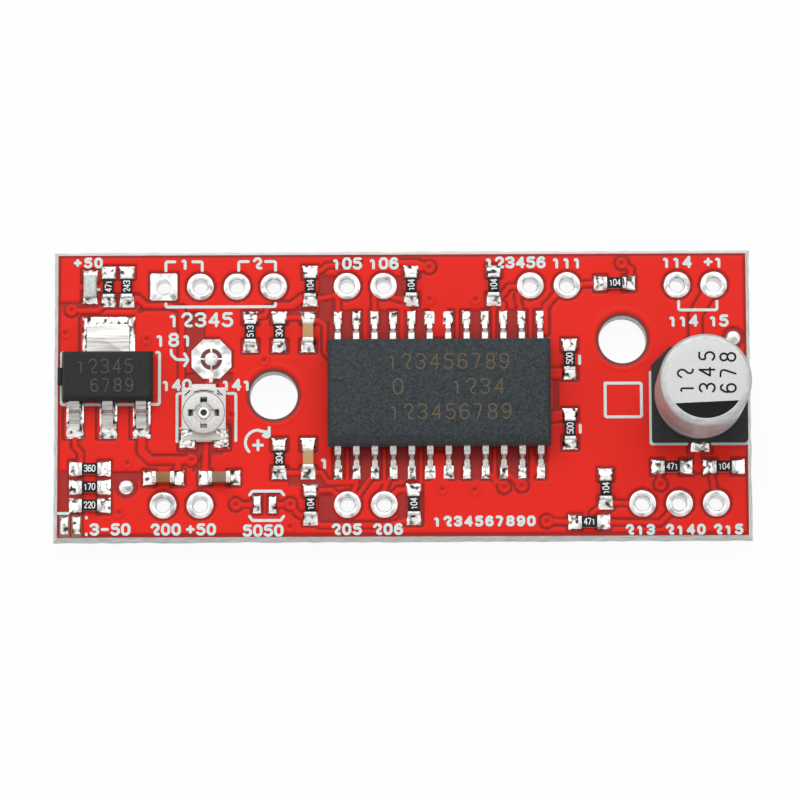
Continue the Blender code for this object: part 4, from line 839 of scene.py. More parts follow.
def makeRims():
    bm = bmesh.new()
    for x, y in mounts:
        inner = board["mountRadius"] + 0.012
        for root, face in ((boardTop - 0.03, boardTop + 0.026), (0.03, -0.026)):
            turned(bm, (x, y), [(inner, root), (inner, root + (face - root) * 0.8), (inner + 0.03, face),
                                (inner + 0.18, face), (inner + 0.2, root)], 0, 72, True)
    turned(bm, testPoint, [(0.75, boardTop + 0.02), (0.75, boardTop + 0.066), (0.3, boardTop + 0.066)], 0, 32)
    for x, y in cornerJumpers:
        softBlock(bm, (x, y - 0.05), (0.36, 0.75), boardTop, boardTop + 0.06, 0.02, 0.05, 1)
    keepPiece("bare_laminate_rims", asMesh("bare_laminate_rims", bm, ["bareRim", "brownGap"], 35))


def makeJumpers():
    bm = bmesh.new()
    rng = random.Random(5)
    for place in jumpers + cornerJumpers:
        a, b = rng.uniform(-0.2, 0.2), rng.uniform(0.5, 0.9)

        def height(u, v, a=a, b=b):
            rim = max(0.0, (1 - abs(u) ** 3) * (1 - abs(v) ** 5)) ** 0.5
            return 0.05 + rim * (0.16 + 0.05 * math.cos(3.4 * (v - a)) - 0.05 * b * math.cos(5 * u) * (v < 0))
        patch(bm, place, (0.3, 0.63), height, boardTop, 12, 18)
    keepPiece("solder_jumpers", asMesh("solder_jumpers", bm, ["solder"], 50))


makeBareTin()
makeRims()
makeJumpers()


# solder joints of the chip parts: one fillet, put at every pad
def makeChipSolder():
    joint = {"halfLong": 0.44, "halfWide": 0.53, "climb": 0.42, "seed": 7}
    bm = bmesh.new()

    # u runs from the pad's outer edge (-1) to the part's end (1)
    def height(u, v):
        t = (u + 1) / 2
        rim = max(0.0, (1 - (2 * max(0, 0.5 - t)) ** 4) * (1 - abs(v) ** 6)) ** 0.5
        climb = joint["climb"] * t ** 1.7 * (1 - 0.25 * v * v)
        return 0.05 + rim * (0.05 + climb + 0.07 * math.exp(-((u + 0.45) / 0.3) ** 2) * (0.4 + v * v))
    patch(bm, (0, 0), (joint["halfLong"], joint["halfWide"]), height, 0.0, 12, 12)
    fillet = inScene("fillet", asMesh("fillet", bm, ["solder"], 60))
    points, turns = [], []
    for (x, y), up in padPairs:
        for end in (-1, 1):
            reach = end * padOutOf((x, y))
            points.append((x, y + reach, boardTop) if up else (x + reach, y, boardTop))
            turns.append(math.radians((90 if end < 0 else -90) if up else (0 if end < 0 else 180)))
    mesh = bpy.data.meshes.new("joint_places")
    mesh.from_pydata([[c * mm for c in p] for p in points], [], [])
    layer = mesh.attributes.new("turn", "FLOAT", "POINT")
    layer.data.foreach_set("value", turns)
    holder = inScene("joint_places", mesh)
    tree, start, out = geometryTree("chip_solder", [("Fillet", "Object"), ("Unevenness", "Float"),
                                                    ("Seed", "Int"), ("Finish", "Material")])
    put = start.outputs
    shape = addNode(tree, "GeometryNodeObjectInfo", Object=put["Fillet"])
    turn = addNode(tree, "GeometryNodeInputNamedAttribute", {"data_type": "FLOAT"}, Name="turn")
    low = addNode(tree, "ShaderNodeMath", {"operation": "SUBTRACT"}, i0=1.0, i1=put["Unevenness"])
    tall = addNode(tree, "FunctionNodeRandomValue", {"data_type": "FLOAT"}, i2=low.outputs[0], i3=1.05,
                   Seed=put["Seed"])
    size = addNode(tree, "ShaderNodeCombineXYZ", X=1.0, Y=1.0, Z=tall.outputs[1])
    spin = addNode(tree, "ShaderNodeCombineXYZ", Z=turn.outputs[0])
    spun = addNode(tree, "FunctionNodeEulerToRotation", i0=spin.outputs[0])
    points = addNode(tree, "GeometryNodeMeshToPoints", Mesh=put["Geometry"])
    placed = addNode(tree, "GeometryNodeInstanceOnPoints", Points=points.outputs[0],
                     Instance=shape.outputs["Geometry"], Rotation=spun.outputs[0], Scale=size.outputs[0])
    endTree(tree, out, placed.outputs[0], put["Finish"])
    made = runTree(holder, tree, {"Fillet": fillet, "Unevenness": 0.3, "Seed": joint["seed"],
                                  "Finish": finish["solder"]}, "chip_solder")
    bpy.data.objects.remove(fillet, do_unlink=True)
    keepPiece("chip_solder", tidyMesh(made, 60))


makeChipSolder()
print("pads and solder made")


# strokes: numbers and lines drawn with a round-ended pen, in ink or laser
# each sign is a few lines on a grid four wide and six tall
signs = {
    "0": [[(1, 0), (3, 0), (4, 1.5), (4, 4.5), (3, 6), (1, 6), (0, 4.5), (0, 1.5), (1, 0)]],
    "1": [[(0.8, 4.6), (2.2, 6), (2.2, 0)]],
    "2": [[(0, 4.6), (1, 6), (3, 6), (4, 4.7), (3.7, 3.4), (0, 0), (4, 0)]],
    "3": [[(0, 5.2), (1, 6), (3, 6), (4, 5), (4, 4), (2.6, 3.1), (1.6, 3.1)],
          [(2.6, 3.1), (4, 2.2), (4, 1), (3, 0), (1, 0), (0, 0.8)]],
    "4": [[(3.1, 6), (3.1, 0)], [(3.1, 6), (0, 1.8)], [(0, 1.8), (4, 1.8)]],
    "5": [[(3.8, 6), (0.4, 6), (0.2, 3.2), (1.4, 3.7), (2.8, 3.7), (4, 2.6), (4, 1.1), (2.9, 0), (1, 0), (0,
            0.8)]],
    "6": [[(3.6, 5.3), (2.8, 6), (1.4, 6), (0, 4.2), (0, 1.2), (1, 0), (3, 0), (4, 1.1), (4, 2.4), (3, 3.5),
           (1, 3.5), (0, 2.4)]],
    "7": [[(0, 6), (4, 6), (1.4, 0)]],
    "8": [[(1.2, 3.2), (0.2, 4), (0.2, 5.2), (1.1, 6), (2.9, 6), (3.8, 5.2), (3.8, 4), (2.8, 3.2), (4, 2.2),
           (4, 0.9), (3, 0), (1, 0), (0, 0.9), (0, 2.2), (1.2, 3.2), (2.8, 3.2)]],
    "9": [[(0.4, 0.7), (1.2, 0), (2.6, 0), (4, 1.8), (4, 4.8), (3, 6), (1, 6), (0, 4.9), (0, 3.6), (1, 2.5),
           (3, 2.5), (4, 3.6)]],
    "+": [[(2, 1.2), (2, 4.8)], [(0.2, 3), (3.8, 3)]],
    "-": [[(0.4, 3), (3.6, 3)]],
    " ": [],
}


def written(text, centre, height, step=None, turn=0.0, squeeze=1.0, z=None):
    # lines that spell plain numbers, centred on a place
    unit = height / 6
    step = step or unit * 5.6 * squeeze
    cosT, sinT = math.cos(turn), math.sin(turn)
    lines = []
    for place, sign in enumerate(text):
        for line in signs[sign]:
            moved = []
            for gx, gy in line:
                x = (place - (len(text) - 1) / 2) * step + (gx - 2) * unit * squeeze
                y = (gy - 3) * unit
                moved.append((centre[0] + x * cosT - y * sinT, centre[1] + x * sinT + y * cosT, z))
            lines.append(moved)
    return lines


def makeStrokeTree():
    tree, start, out = geometryTree("pen_strokes", [("Width", "Float"), ("Thickness", "Float"),
                                                    ("Corner", "Float"), ("Finish", "Material")])
    put = start.outputs
    soft = addNode(tree, "GeometryNodeFilletCurve", {"mode": "POLY"}, Curve=put["Geometry"], Count=3,
                   Radius=put["Corner"], Limit_Radius=True)
    up = addNode(tree, "GeometryNodeSetCurveNormal", {"mode": "Z_UP"}, Curve=soft.outputs[0])
    nib = addNode(tree, "GeometryNodeCurvePrimitiveQuadrilateral", {"mode": "RECTANGLE"},
                  Width=put["Width"], Height=put["Thickness"])
    line = addNode(tree, "GeometryNodeCurveToMesh", Curve=up.outputs[0], Profile_Curve=nib.outputs[0],
                   Fill_Caps=True)
    halfWidth = addNode(tree, "ShaderNodeMath", {"operation": "MULTIPLY"}, i0=put["Width"], i1=0.5)
    tall = addNode(tree, "ShaderNodeMath", {"operation": "ADD"}, i0=put["Thickness"], i1=0.000008)
    dot = addNode(tree, "GeometryNodeMeshCylinder", Vertices=10, Radius=halfWidth.outputs[0],
                  Depth=tall.outputs[0])
    ends = addNode(tree, "GeometryNodeCurveEndpointSelection")
    dots = addNode(tree, "GeometryNodeInstanceOnPoints", Points=soft.outputs[0], Selection=ends.outputs[0],
                   Instance=dot.outputs[0])
    both = addNode(tree, "GeometryNodeJoinGeometry", Geometry=line.outputs[0])
    tree.links.new(dots.outputs[0], both.inputs[0])
    endTree(tree, out, both.outputs[0], put["Finish"])
    return tree


strokeTree = makeStrokeTree()


def drawStrokes(name, lines, width, thickness, corner, key, body=boardBody):
    data = bpy.data.curves.new(name, "CURVE")
    data.dimensions = "3D"
    for number, line in enumerate(lines):
        lift = 0.0012 * (number % 5)  # crossing strokes lie a hair above each other, so neither flickers
        spline = data.splines.new("POLY")
        spline.points.add(len(line) - 1)
        for k, (x, y, z) in enumerate(line):
            spline.points[k].co = (x * mm, y * mm, (z + lift + 0.0005 * k) * mm, 1)
    holder = inScene(name + "_lines", data)
    made = runTree(holder, strokeTree, {"Width": width * mm, "Thickness": thickness * mm,
                                        "Corner": corner * mm,
                                        "Finish": finish[key]}, name)
    bpy.data.curves.remove(data)
    keepPiece(name, tidyMesh(made, 35), (), body)


# silkscreen: lines, frames, arrows and plain numbers
def arc(centre, radius, fromDeg, toDeg, steps=16):
    return [(centre[0] + radius * math.cos(math.radians(fromDeg + (toDeg - fromDeg) * i / steps)),
             centre[1] + radius * math.sin(math.radians(fromDeg + (toDeg - fromDeg) * i / steps)))
            for i in range(steps + 1)]


def makeSilkscreen():
    ink = {"width": 0.2, "thickness": 0.03, "z": boardTop + 0.065}
    p = topPads
    flat = [
        # frames over the two motor pad pairs
        [(p[0][0] + 0.15, 8.75), (p[0][0] + 0.15, 9.37), (-15.75, 9.37)], [(-14.5, 9.37), (-13.84, 9.37),
                (-13.84, 8.75)],
        [(-11.31, 8.75), (-11.31, 9.37), (-10.65, 9.37)], [(-9.45, 9.37), (-8.76, 9.37), (-8.76, 8.75)],
        # long frame under the four motor pads
        [(-16.35, 6.42), (-16.35, 6.2), (-8.76, 6.2), (-8.76, 6.42)],
        # frame under the power pads
        [(19.15, 6.45), (19.15, 5.85), (21.8, 5.85), (21.8, 6.45)],
        # low frame in the place beside the capacitor, left empty
        [(14.0, 0.75), (16.5, 0.75), (16.5, -1.6), (14.0, -1.6), (14.0, 0.75)],
        # arrow to the test point
        [(-15.98, 3.18), (-15.95, 2.85), (-15.6, 2.52), (-14.85, 2.5)], [(-15.05, 2.92), (-14.8, 2.5),
                (-15.05, 2.08)],
        # trimmer frame
        [(-15.25, 0.14), (-15.56, 0.14), (-15.56, -3.2)], [(-12.1, 0.14), (-11.5, 0.14), (-11.5, -3.15)],
        # turn arrow
        arc((-9.97, -3.3), 0.87, 225, 85), [(-9.95, -2.45), (-9.25, -2.6)],
        [(-9.2, -2.25), (-9.2, -2.9), (-9.78, -2.9), (-9.2, -2.45)], [(-9.6, -2.8), (-9.3, -2.75)],
        [(-9.97, -3.15), (-9.97, -3.8)], [(-10.28, -3.47), (-9.66, -3.47)],
        # jumper brackets
        [(-10.55, -6.93), (-10.35, -6.67), (-8.4, -6.67), (-8.2, -6.93)],
        [(-10.55, -8.42), (-10.35, -8.7), (-8.4, -8.7), (-8.2, -8.42)],
        [(-23.7, -8.16), (-23.05, -8.16)], [(-21.78, -8.44), (-21.78, -8.48)], [(-21.78, -9.6), (-21.78,
                -9.64)],
        # regulator frame
        [(-16.98, 3.03), (-16.78, 3.03), (-16.78, -0.6), (-17.35, -0.6)],
        [(-18.55, -0.6), (-19.65, -0.6)], [(-20.95, -0.6), (-21.95, -0.6)],
        [(-23.15, -0.6), (-23.55, -0.6), (-23.55, 3.03), (-23.4, 3.03)],
        # sense resistor ticks, light tick
        [(12.26, 2.65), (12.26, 2.12)], [(12.26, -2.18), (12.26, -2.66)], [(-21.1, 7.45), (-20.98, 7.45)],
        # capacitor frame corners
        [(19.6, -3.5), (17.13, -3.5), (17.13, 1.5)], [(21.35, -3.5), (23.76, -3.5), (23.76, -0.9)],
    ]
    lines = [[(x, y, ink["z"]) for x, y in line] for line in flat]
    # plain numbers where the board names its pads
    names = [
        ("+50", (-21.75, 9.32), 0.56), ("1", (-15.05, 9.24), 0.66), ("2", (-10.0, 9.24), 0.66),
        ("12345", (-13.95, 5.3), 0.85), ("181", (-15.8, 3.9), 0.78), ("140", (-15.6, 0.74), 0.66),
        ("141", (-11.45, 0.74), 0.66), ("105", (headerX(5), 9.21), 0.66), ("106", (headerX(6), 9.21), 0.66),
        ("123456", (7.85, 9.24), 0.64), ("111", (headerX(11), 9.22), 0.66), ("114", (headerX(14), 9.22),
                0.66),
        ("+1", (headerX(15), 9.22), 0.66), ("114", (19.45, 5.1), 0.66), ("15", (21.9, 5.1), 0.66),
        ("3-50", (-20.15, -9.28), 0.66), ("200", (-16.32, -9.3), 0.64), ("+50", (-13.9, -9.3), 0.64),
        ("5050", (-9.62, -9.4), 0.66), ("205", (headerX(5) - 0.05, -9.33), 0.62), ("206", (headerX(6) + 0.25,
                -9.33), 0.62),
        ("213", (16.33, -9.43), 0.56), ("2140", (19.45, -9.43), 0.56), ("215", (22.4, -9.43), 0.56),
        ("1", (-5.4, -4.72), 0.66), ("1234567890", (5.6, -8.8), 0.56),
    ]
    for text, centre, height in names:
        lines += written(text, centre, height, 0.72 if height < 0.7 else 0.93, 0, 1.05, ink["z"])
    drawStrokes("silkscreen_upper", lines, ink["width"], ink["thickness"], 0.12, "ink")
    # the underside carries the pad numbers only
    under = []
    number = 1
    for row, y in ((topPads, 5.95), (bottomPads, -5.95)):
        for x, _ in row:
            under += [[(2 * x - px, py, pz) for px, py, pz in line]
                      for line in written(str(number), (x, y), 1.0, None, 0, 1.0, -0.065)]
            number += 1
    drawStrokes("silkscreen_under", under, ink["width"], ink["thickness"], 0.12, "ink")


makeSilkscreen()
print("silkscreen made")


# chip resistors, ceramics, light
numberLines = []


def makeResistor(node, number, up):
    low, high = boxOf(node)
    half = ((high[0] - low[0]) / 2, (high[1] - low[1]) / 2)
    x, y = middle(node)
    z0, z1 = low[2], high[2] - 0.03
    bm = bmesh.new()

    def part(width, a, b, z0, z1, key, edge=0.03):
        centre = (x, y + (a + b) / 2) if up else (x + (a + b) / 2, y)
        size = (width, (b - a) / 2) if up else ((b - a) / 2, width)
        softBlock(bm, centre, size, z0, z1, edge, edge, key)
    long, wide = (half[1], half[0]) if up else half
    part(wide - 0.03, -long + 0.06, long - 0.06, z0 + 0.01, z1 - 0.03, 0)
    for end in (-1, 1):
        a, b = sorted((end * long, end * (long - 0.3)))
        part(wide, a, b, z0, z1, 1, 0.05)
    part(wide - 0.015, -long + 0.27, long - 0.27, z1 - 0.1, z1 + 0.025, 2, 0.025)
    numberLines.extend(written(number, (x, y), 0.42, 0.27, math.radians(90) if up else 0, 0.7, z1 + 0.03))
    keepPiece(node + "_body", asMesh(node + "_body", bm, ["alumina", "termination", "overcoat"], 50),
              (node,))


def makeCeramic(node, key, up):
    low, high = boxOf(node)
    half = ((high[0] - low[0]) / 2, (high[1] - low[1]) / 2)
    x, y = middle(node)
    bm = bmesh.new()
    long, wide = (half[1], half[0]) if up else half
    for a, b, inset, kind in ((-long + 0.1, long - 0.1, 0.03, 0), (-long, -long + 0.34, 0, 1), (long - 0.34,
            long, 0, 1)):
        centre = (x, y + (a + b) / 2) if up else (x + (a + b) / 2, y)
        size = (wide - inset, (b - a) / 2) if up else ((b - a) / 2, wide - inset)
        softBlock(bm, centre, size, low[2] + inset, high[2] - inset, 0.06, 0.06, kind)
    keepPiece(node + "_body", asMesh(node + "_body", bm, [key, "termination"], 50),
              (node,))


for node, number in uprightParts.items():
    makeResistor(node, number, True)
for node, number in flatParts.items():
    makeResistor(node, number, False)
for node, (key, up) in ceramics.items():
    makeCeramic(node, key, up)
drawStrokes("resistor_numbers", numberLines, 0.062, 0.012, 0.04, "numberInk")


def makeLight():
    low, high = boxOf("light_carrier")
    x, y = middle("light_carrier")
    bm = bmesh.new()
    half = ((high[0] - low[0]) / 2, (high[1] - low[1]) / 2)
    softBlock(bm, (x, y), (half[0], half[1] - 0.04), low[2], high[2], 0.03, 0.03, 0)
    for end in (-1, 1):  # plated ends
        softBlock(bm, (x, y + end * (half[1] - 0.13)), (half[0] + 0.005, 0.13), low[2], high[2] + 0.012, 0.02,
                  0.02, 1)
    keepPiece("light_carrier_body", asMesh("light_carrier_body", bm, ["alumina", "termination"], 50),
              ("light_carrier",))
    low, high = boxOf("light_lens")
    bm = bmesh.new()
    loops = []
    for inset, z in ((0.0, low[2]), (0.01, low[2] + 0.1), (0.04, high[2] - 0.08), (0.08, high[2] - 0.025),
                     (0.15, high[2])):
        loops.append(roundedLoop((x, y), 0.46 - inset, 0.82 - inset, 0.08, z))
    loft(bm, loops)
    keepPiece("light_lens_body", asMesh("light_lens_body", bm, ["lens"], 40), ("light_lens",))


makeLight()
print("chip parts made")


# driver chip
driver = {"draft": 0.24, "edge": 0.07, "parting": 1.13, "bevel": 0.42, "markRadius": 0.66, "markDepth": 0.07}


def makeDriver():
    low, high = boxOf("driver_package")
    x, y = (low[0] + high[0]) / 2, (low[1] + high[1]) / 2
    halfX, halfY = (high[0] - low[0]) / 2, (high[1] - low[1]) / 2
    mid = boardTop + driver["parting"]
    bm = bmesh.new()

    def section(inset, z, front=0.0):
        loop = roundedLoop((x, y), halfX - inset, halfY - inset, 0.09, z, 4)
        return [(px, py + (front if py < y else 0), pz) for px, py, pz in loop]
    e, d = driver["edge"], driver["draft"]
    bevel = driver["bevel"]
    loops = [section(d, low[2]), section(d - 0.05, low[2] + 0.05), section(0.015, mid - 0.025), section(0.0,
            mid - 0.02),
             section(0.0, mid + 0.02), section(0.015, mid + 0.025), section(d * 0.62, high[2] - bevel, 0.02),
             section(d - 0.03, high[2] - e, bevel * 0.8), section(d, high[2] - e * 0.4, bevel * 0.93),
             section(d + 0.04, high[2], bevel)]
    loft(bm, loops)
    # round dimple at the left end, which marks pin one
    spot, floorZ, r = (x - halfX + 0.7, y + 0.05), high[2] - driver["markDepth"], driver["markRadius"]
    dimple = bmesh.new()
    turned(dimple, spot, [(r - 0.05, floorZ), (r, floorZ + 0.03), (r + 0.03, high[2] + 0.2)], 0, 40)
    keepPiece("driver_package_body", carve("driver_package_body", bm, "moulding", dimple, 28, False),
              ("driver_package",))
    z = high[2] + 0.004
    marks = written("123456789", (3.18, 1.98), 1.0, 0.96, 0, 0.85, z) \
        + written("0", (-0.29, 0.24), 1.0, 0.96, 0, 0.95, z) + written("1234", (5.2, 0.24), 1.0, 0.97, 0,
                0.85, z) \
        + written("123456789", (3.3, -1.5), 1.0, 0.96, 0, 0.85, z)
    drawStrokes("driver_marks", marks, 0.11, 0.012, 0.2, "driverMark")


def makeLeads():
    # one lead along its bend, then twelve a side
    lead = {"width": 0.46, "neck": 0.33, "toe": 0.4, "thick": 0.24}
    low, high = boxOf("driver_leads_1_to_5")
    side = boxOf("driver_package")[1][1]  # where the moulding ends
    toe = abs(low[1]) - side
    rise = boardTop + 1.0
    foot = boardTop + 0.045
    path = [(-0.35, rise + 0.13, 0), (0.12, rise + 0.13, 0), (0.3, rise + 0.115, 0.2), (0.43, rise + 0.05,
            0.7),
            (0.5, rise - 0.08, 1.2), (0.56, rise - 0.4, 1.38), (0.62, foot + 0.45, 1.35), (0.68, foot + 0.28,
                    1.15),
            (0.76, foot + 0.17, 0.7), (0.88, foot + 0.13, 0.2), (1.0, foot + 0.12, 0), (toe - 0.06,
                    foot + 0.12, 0),
            (toe, foot + 0.12, 0)]
    widths = [lead["width"]] * 4 + [lead["width"] - 0.03, lead["neck"] + 0.05, lead["neck"],
                                    lead["neck"] + 0.02,
                                    lead["toe"] - 0.02, lead["toe"], lead["toe"], lead["toe"], lead["toe"] - 0.06]
    bm = bmesh.new()
    loops = []
    for (reach, z, lean), width in zip(path, widths):
        loop = []
        for px, py, _ in roundedLoop((0, 0), width / 2, lead["thick"] / 2, 0.055, 0, 2):
            # the section stands across the path and leans with it
            loop.append((px, -(side + reach + py * math.sin(lean)), z + py * math.cos(lean)))
        loops.append(loop)
    loft(bm, loops)
    mesh = asMesh("lead", bm, ["leadTin"], 45)
    holder = inScene("lead", mesh)
    tree, start, out = geometryTree("lead_rows", [("Pitch", "Float"), ("Count", "Int"), ("First", "Float"),
                                                  ("Centre", "Float"), ("Finish", "Material")])
    put = start.outputs
    stepAlong = addNode(tree, "ShaderNodeCombineXYZ", X=put["Pitch"])
    first = addNode(tree, "ShaderNodeCombineXYZ", X=put["First"])
    line = addNode(tree, "GeometryNodeMeshLine", {"mode": "OFFSET"}, Count=put["Count"],
                   Start_Location=first.outputs[0], Offset=stepAlong.outputs[0])
    row = addNode(tree, "GeometryNodeInstanceOnPoints", Points=line.outputs[0], Instance=put["Geometry"])
    twice = addNode(tree, "ShaderNodeMath", {"operation": "MULTIPLY"}, i0=put["Centre"], i1=2.0)
    moved = addNode(tree, "ShaderNodeCombineXYZ", X=twice.outputs[0])
    other = addNode(tree, "GeometryNodeTransform", Geometry=row.outputs[0], Translation=moved.outputs[0],
                    Rotation=(0, 0, math.pi))
    both = addNode(tree, "GeometryNodeJoinGeometry", Geometry=row.outputs[0])
    tree.links.new(other.outputs[0], both.inputs[0])
    endTree(tree, out, both.outputs[0], put["Finish"])
    made = runTree(holder, tree, {"Pitch": pins["pitch"] * mm, "Count": 12, "First": pinX(1) * mm,
                                  "Centre": chipX * mm,
                                  "Finish": finish["leadTin"]}, "driver_leads")
    keepPiece("driver_leads", tidyMesh(made, 45),
              ("driver_leads_1_to_5", "driver_leads_8_to_12", "driver_leads_13_to_17",
               "driver_leads_20_to_24",
               "driver_ground_frame"))
    # solder under and before each foot, splayed at the toe as it wetted the pad
    bm = bmesh.new()
    for n in range(1, 25):
        px, py = pinPad(n)
        out = -1 if n <= 12 else 1

        def height(u, v, out=out, n=n):
            t = (v * out + 1) / 2  # 1 at the pad's outer end
            waist = 1 - 0.55 * max(0.0, 1 - abs(t - 0.42) / 0.42) * abs(u)
            rim = max(0.0, (1 - abs(u) ** 4) * (1 - abs(v) ** 8)) ** 0.5
            return 0.035 + rim * waist * (0.15 - 0.07 * t + 0.03 * math.sin(n * 2.3 + 4 * u))
        patch(bm, (px, py), (pinPadHalf(n), 0.52), height, boardTop, 8, 12)
    keepPiece("driver_solder", asMesh("driver_solder", bm, ["solder"], 60))


makeDriver()
makeLeads()
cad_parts["driver_die"].data.materials[0] = finish["silicon"]
print("driver made")


# regulator
def bentStrip(bm, path, width, thick, x, finishIndex=0, corner=0.04):
    # a flat strip whose middle follows (y, z) points in the plane at x
    loops = []
    for i, (py, pz) in enumerate(path):
        before, after = path[max(0, i - 1)], path[min(len(path) - 1, i + 1)]
        dy, dz = after[0] - before[0], after[1] - before[1]
        size = math.hypot(dy, dz)
        ny, nz = -dz / size, dy / size
        loops.append([(x + qx, py + qy * ny, pz + qy * nz)
                      for qx, qy, _ in roundedLoop((0, 0), width / 2, thick / 2, corner, 0, 2)])
    loft(bm, loops, finishIndex)


def makeRegulator():
    low, high = boxOf("regulator_package")
    tabLow, tabHigh = boxOf("regulator_tab")
    centre = ((tabLow[0] + tabHigh[0]) / 2, (low[1] + high[1]) / 2)
    halfX, halfY = high[0] - centre[0], (high[1] - low[1]) / 2
    bm = bmesh.new()
    mid = low[2] + 0.72
    rows = [(0.2, low[2]), (0.14, low[2] + 0.05), (0.012, mid - 0.03), (0.0, mid - 0.02), (0.0, mid + 0.02),
            (0.012, mid + 0.03), (0.17, high[2] - 0.09), (0.2, high[2] - 0.04), (0.26, high[2] - 0.01),
            (0.32, high[2])]
    loft(bm, [roundedLoop(centre, halfX - 0.1 - inset, halfY - inset, 0.1, z, 4) for inset, z in rows])
    # stub of the gate on the left end
    softBlock(bm, (low[0] + 0.16, centre[1]), (0.16, 0.62), mid - 0.12, mid + 0.12, 0.04, 0.06)
    keepPiece("regulator_package_body", asMesh("regulator_package_body", bm, ["regulatorMoulding"], 28),
              ("regulator_package",))
    z = high[2] + 0.003
    marks = written("12345", (regX - 0.05, regY + 0.6), 0.92, 0.82, 0, 0.8, z) \
        + written("6789", (regX + 0.45, regY - 0.72), 0.85, 0.8, 0, 0.8, z)
    drawStrokes("regulator_marks", marks, 0.085, 0.01, 0.15, "regulatorMark")
    # wide tab with its lip of solder
    bm = bmesh.new()
    softBlock(bm, (centre[0], (high[1] - 0.3 + tabHigh[1]) / 2), (1.5, (tabHigh[1] - high[1] + 0.3) / 2),
              boardTop + 0.05,
              boardTop + 0.42, 0.05, 0.08)
    side = low[1]
    for dx in regulatorPins:
        bentStrip(bm, [(side + 0.3, boardTop + 0.78), (side - 0.2, boardTop + 0.78), (side - 0.38,
                boardTop + 0.74),
                       (side - 0.5, boardTop + 0.6), (side - 0.6, boardTop + 0.38), (side - 0.74,
                               boardTop + 0.22),
                       (side - 0.95, boardTop + 0.17), (tabLow[1] + 0.04, boardTop + 0.17),
                       (tabLow[1], boardTop + 0.17)], 0.72, 0.25, centre[0] + dx)
    keepPiece("regulator_metal", asMesh("regulator_metal", bm, ["tabTin"], 40),
              ("regulator_tab", "regulator_lead_left", "regulator_lead_right"))
    bm = bmesh.new()

    def tabSolder(u, v):
        rim = max(0.0, (1 - abs(u) ** 10) * (1 - abs(v) ** 10)) ** 0.5
        return 0.035 + rim * (0.05 + 0.2 * math.exp(-((abs(u) - 0.84) / 0.07) ** 2) + 0.16 * math.exp(-((v - 0.52) / 0.16) ** 2)
                              + 0.02 * math.sin(7 * u + 3 * v))
    patch(bm, (centre[0], 4.16), (1.83, 1.36), tabSolder, boardTop, 30, 22)

    def leadSolder(u, v):
        rim = max(0.0, (1 - abs(u) ** 8) * (1 - abs(v) ** 8)) ** 0.5
        return 0.035 + rim * (0.03 + 0.14 * math.exp(-((abs(u) - 0.62) / 0.14) ** 2) * (v > -0.62)
                              + 0.15 * math.exp(-((v + 0.5) / 0.14) ** 2) * (1 - 0.4 * u * u))
    for dx in regulatorPins:
        patch(bm, (centre[0] + dx, -1.63), (0.62, 1.34), leadSolder, boardTop, 16, 26)
    keepPiece("regulator_solder", asMesh("regulator_solder", bm, ["solder"], 60))


makeRegulator()
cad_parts["regulator_die"].data.materials[0] = finish["silicon"]
print("regulator made")


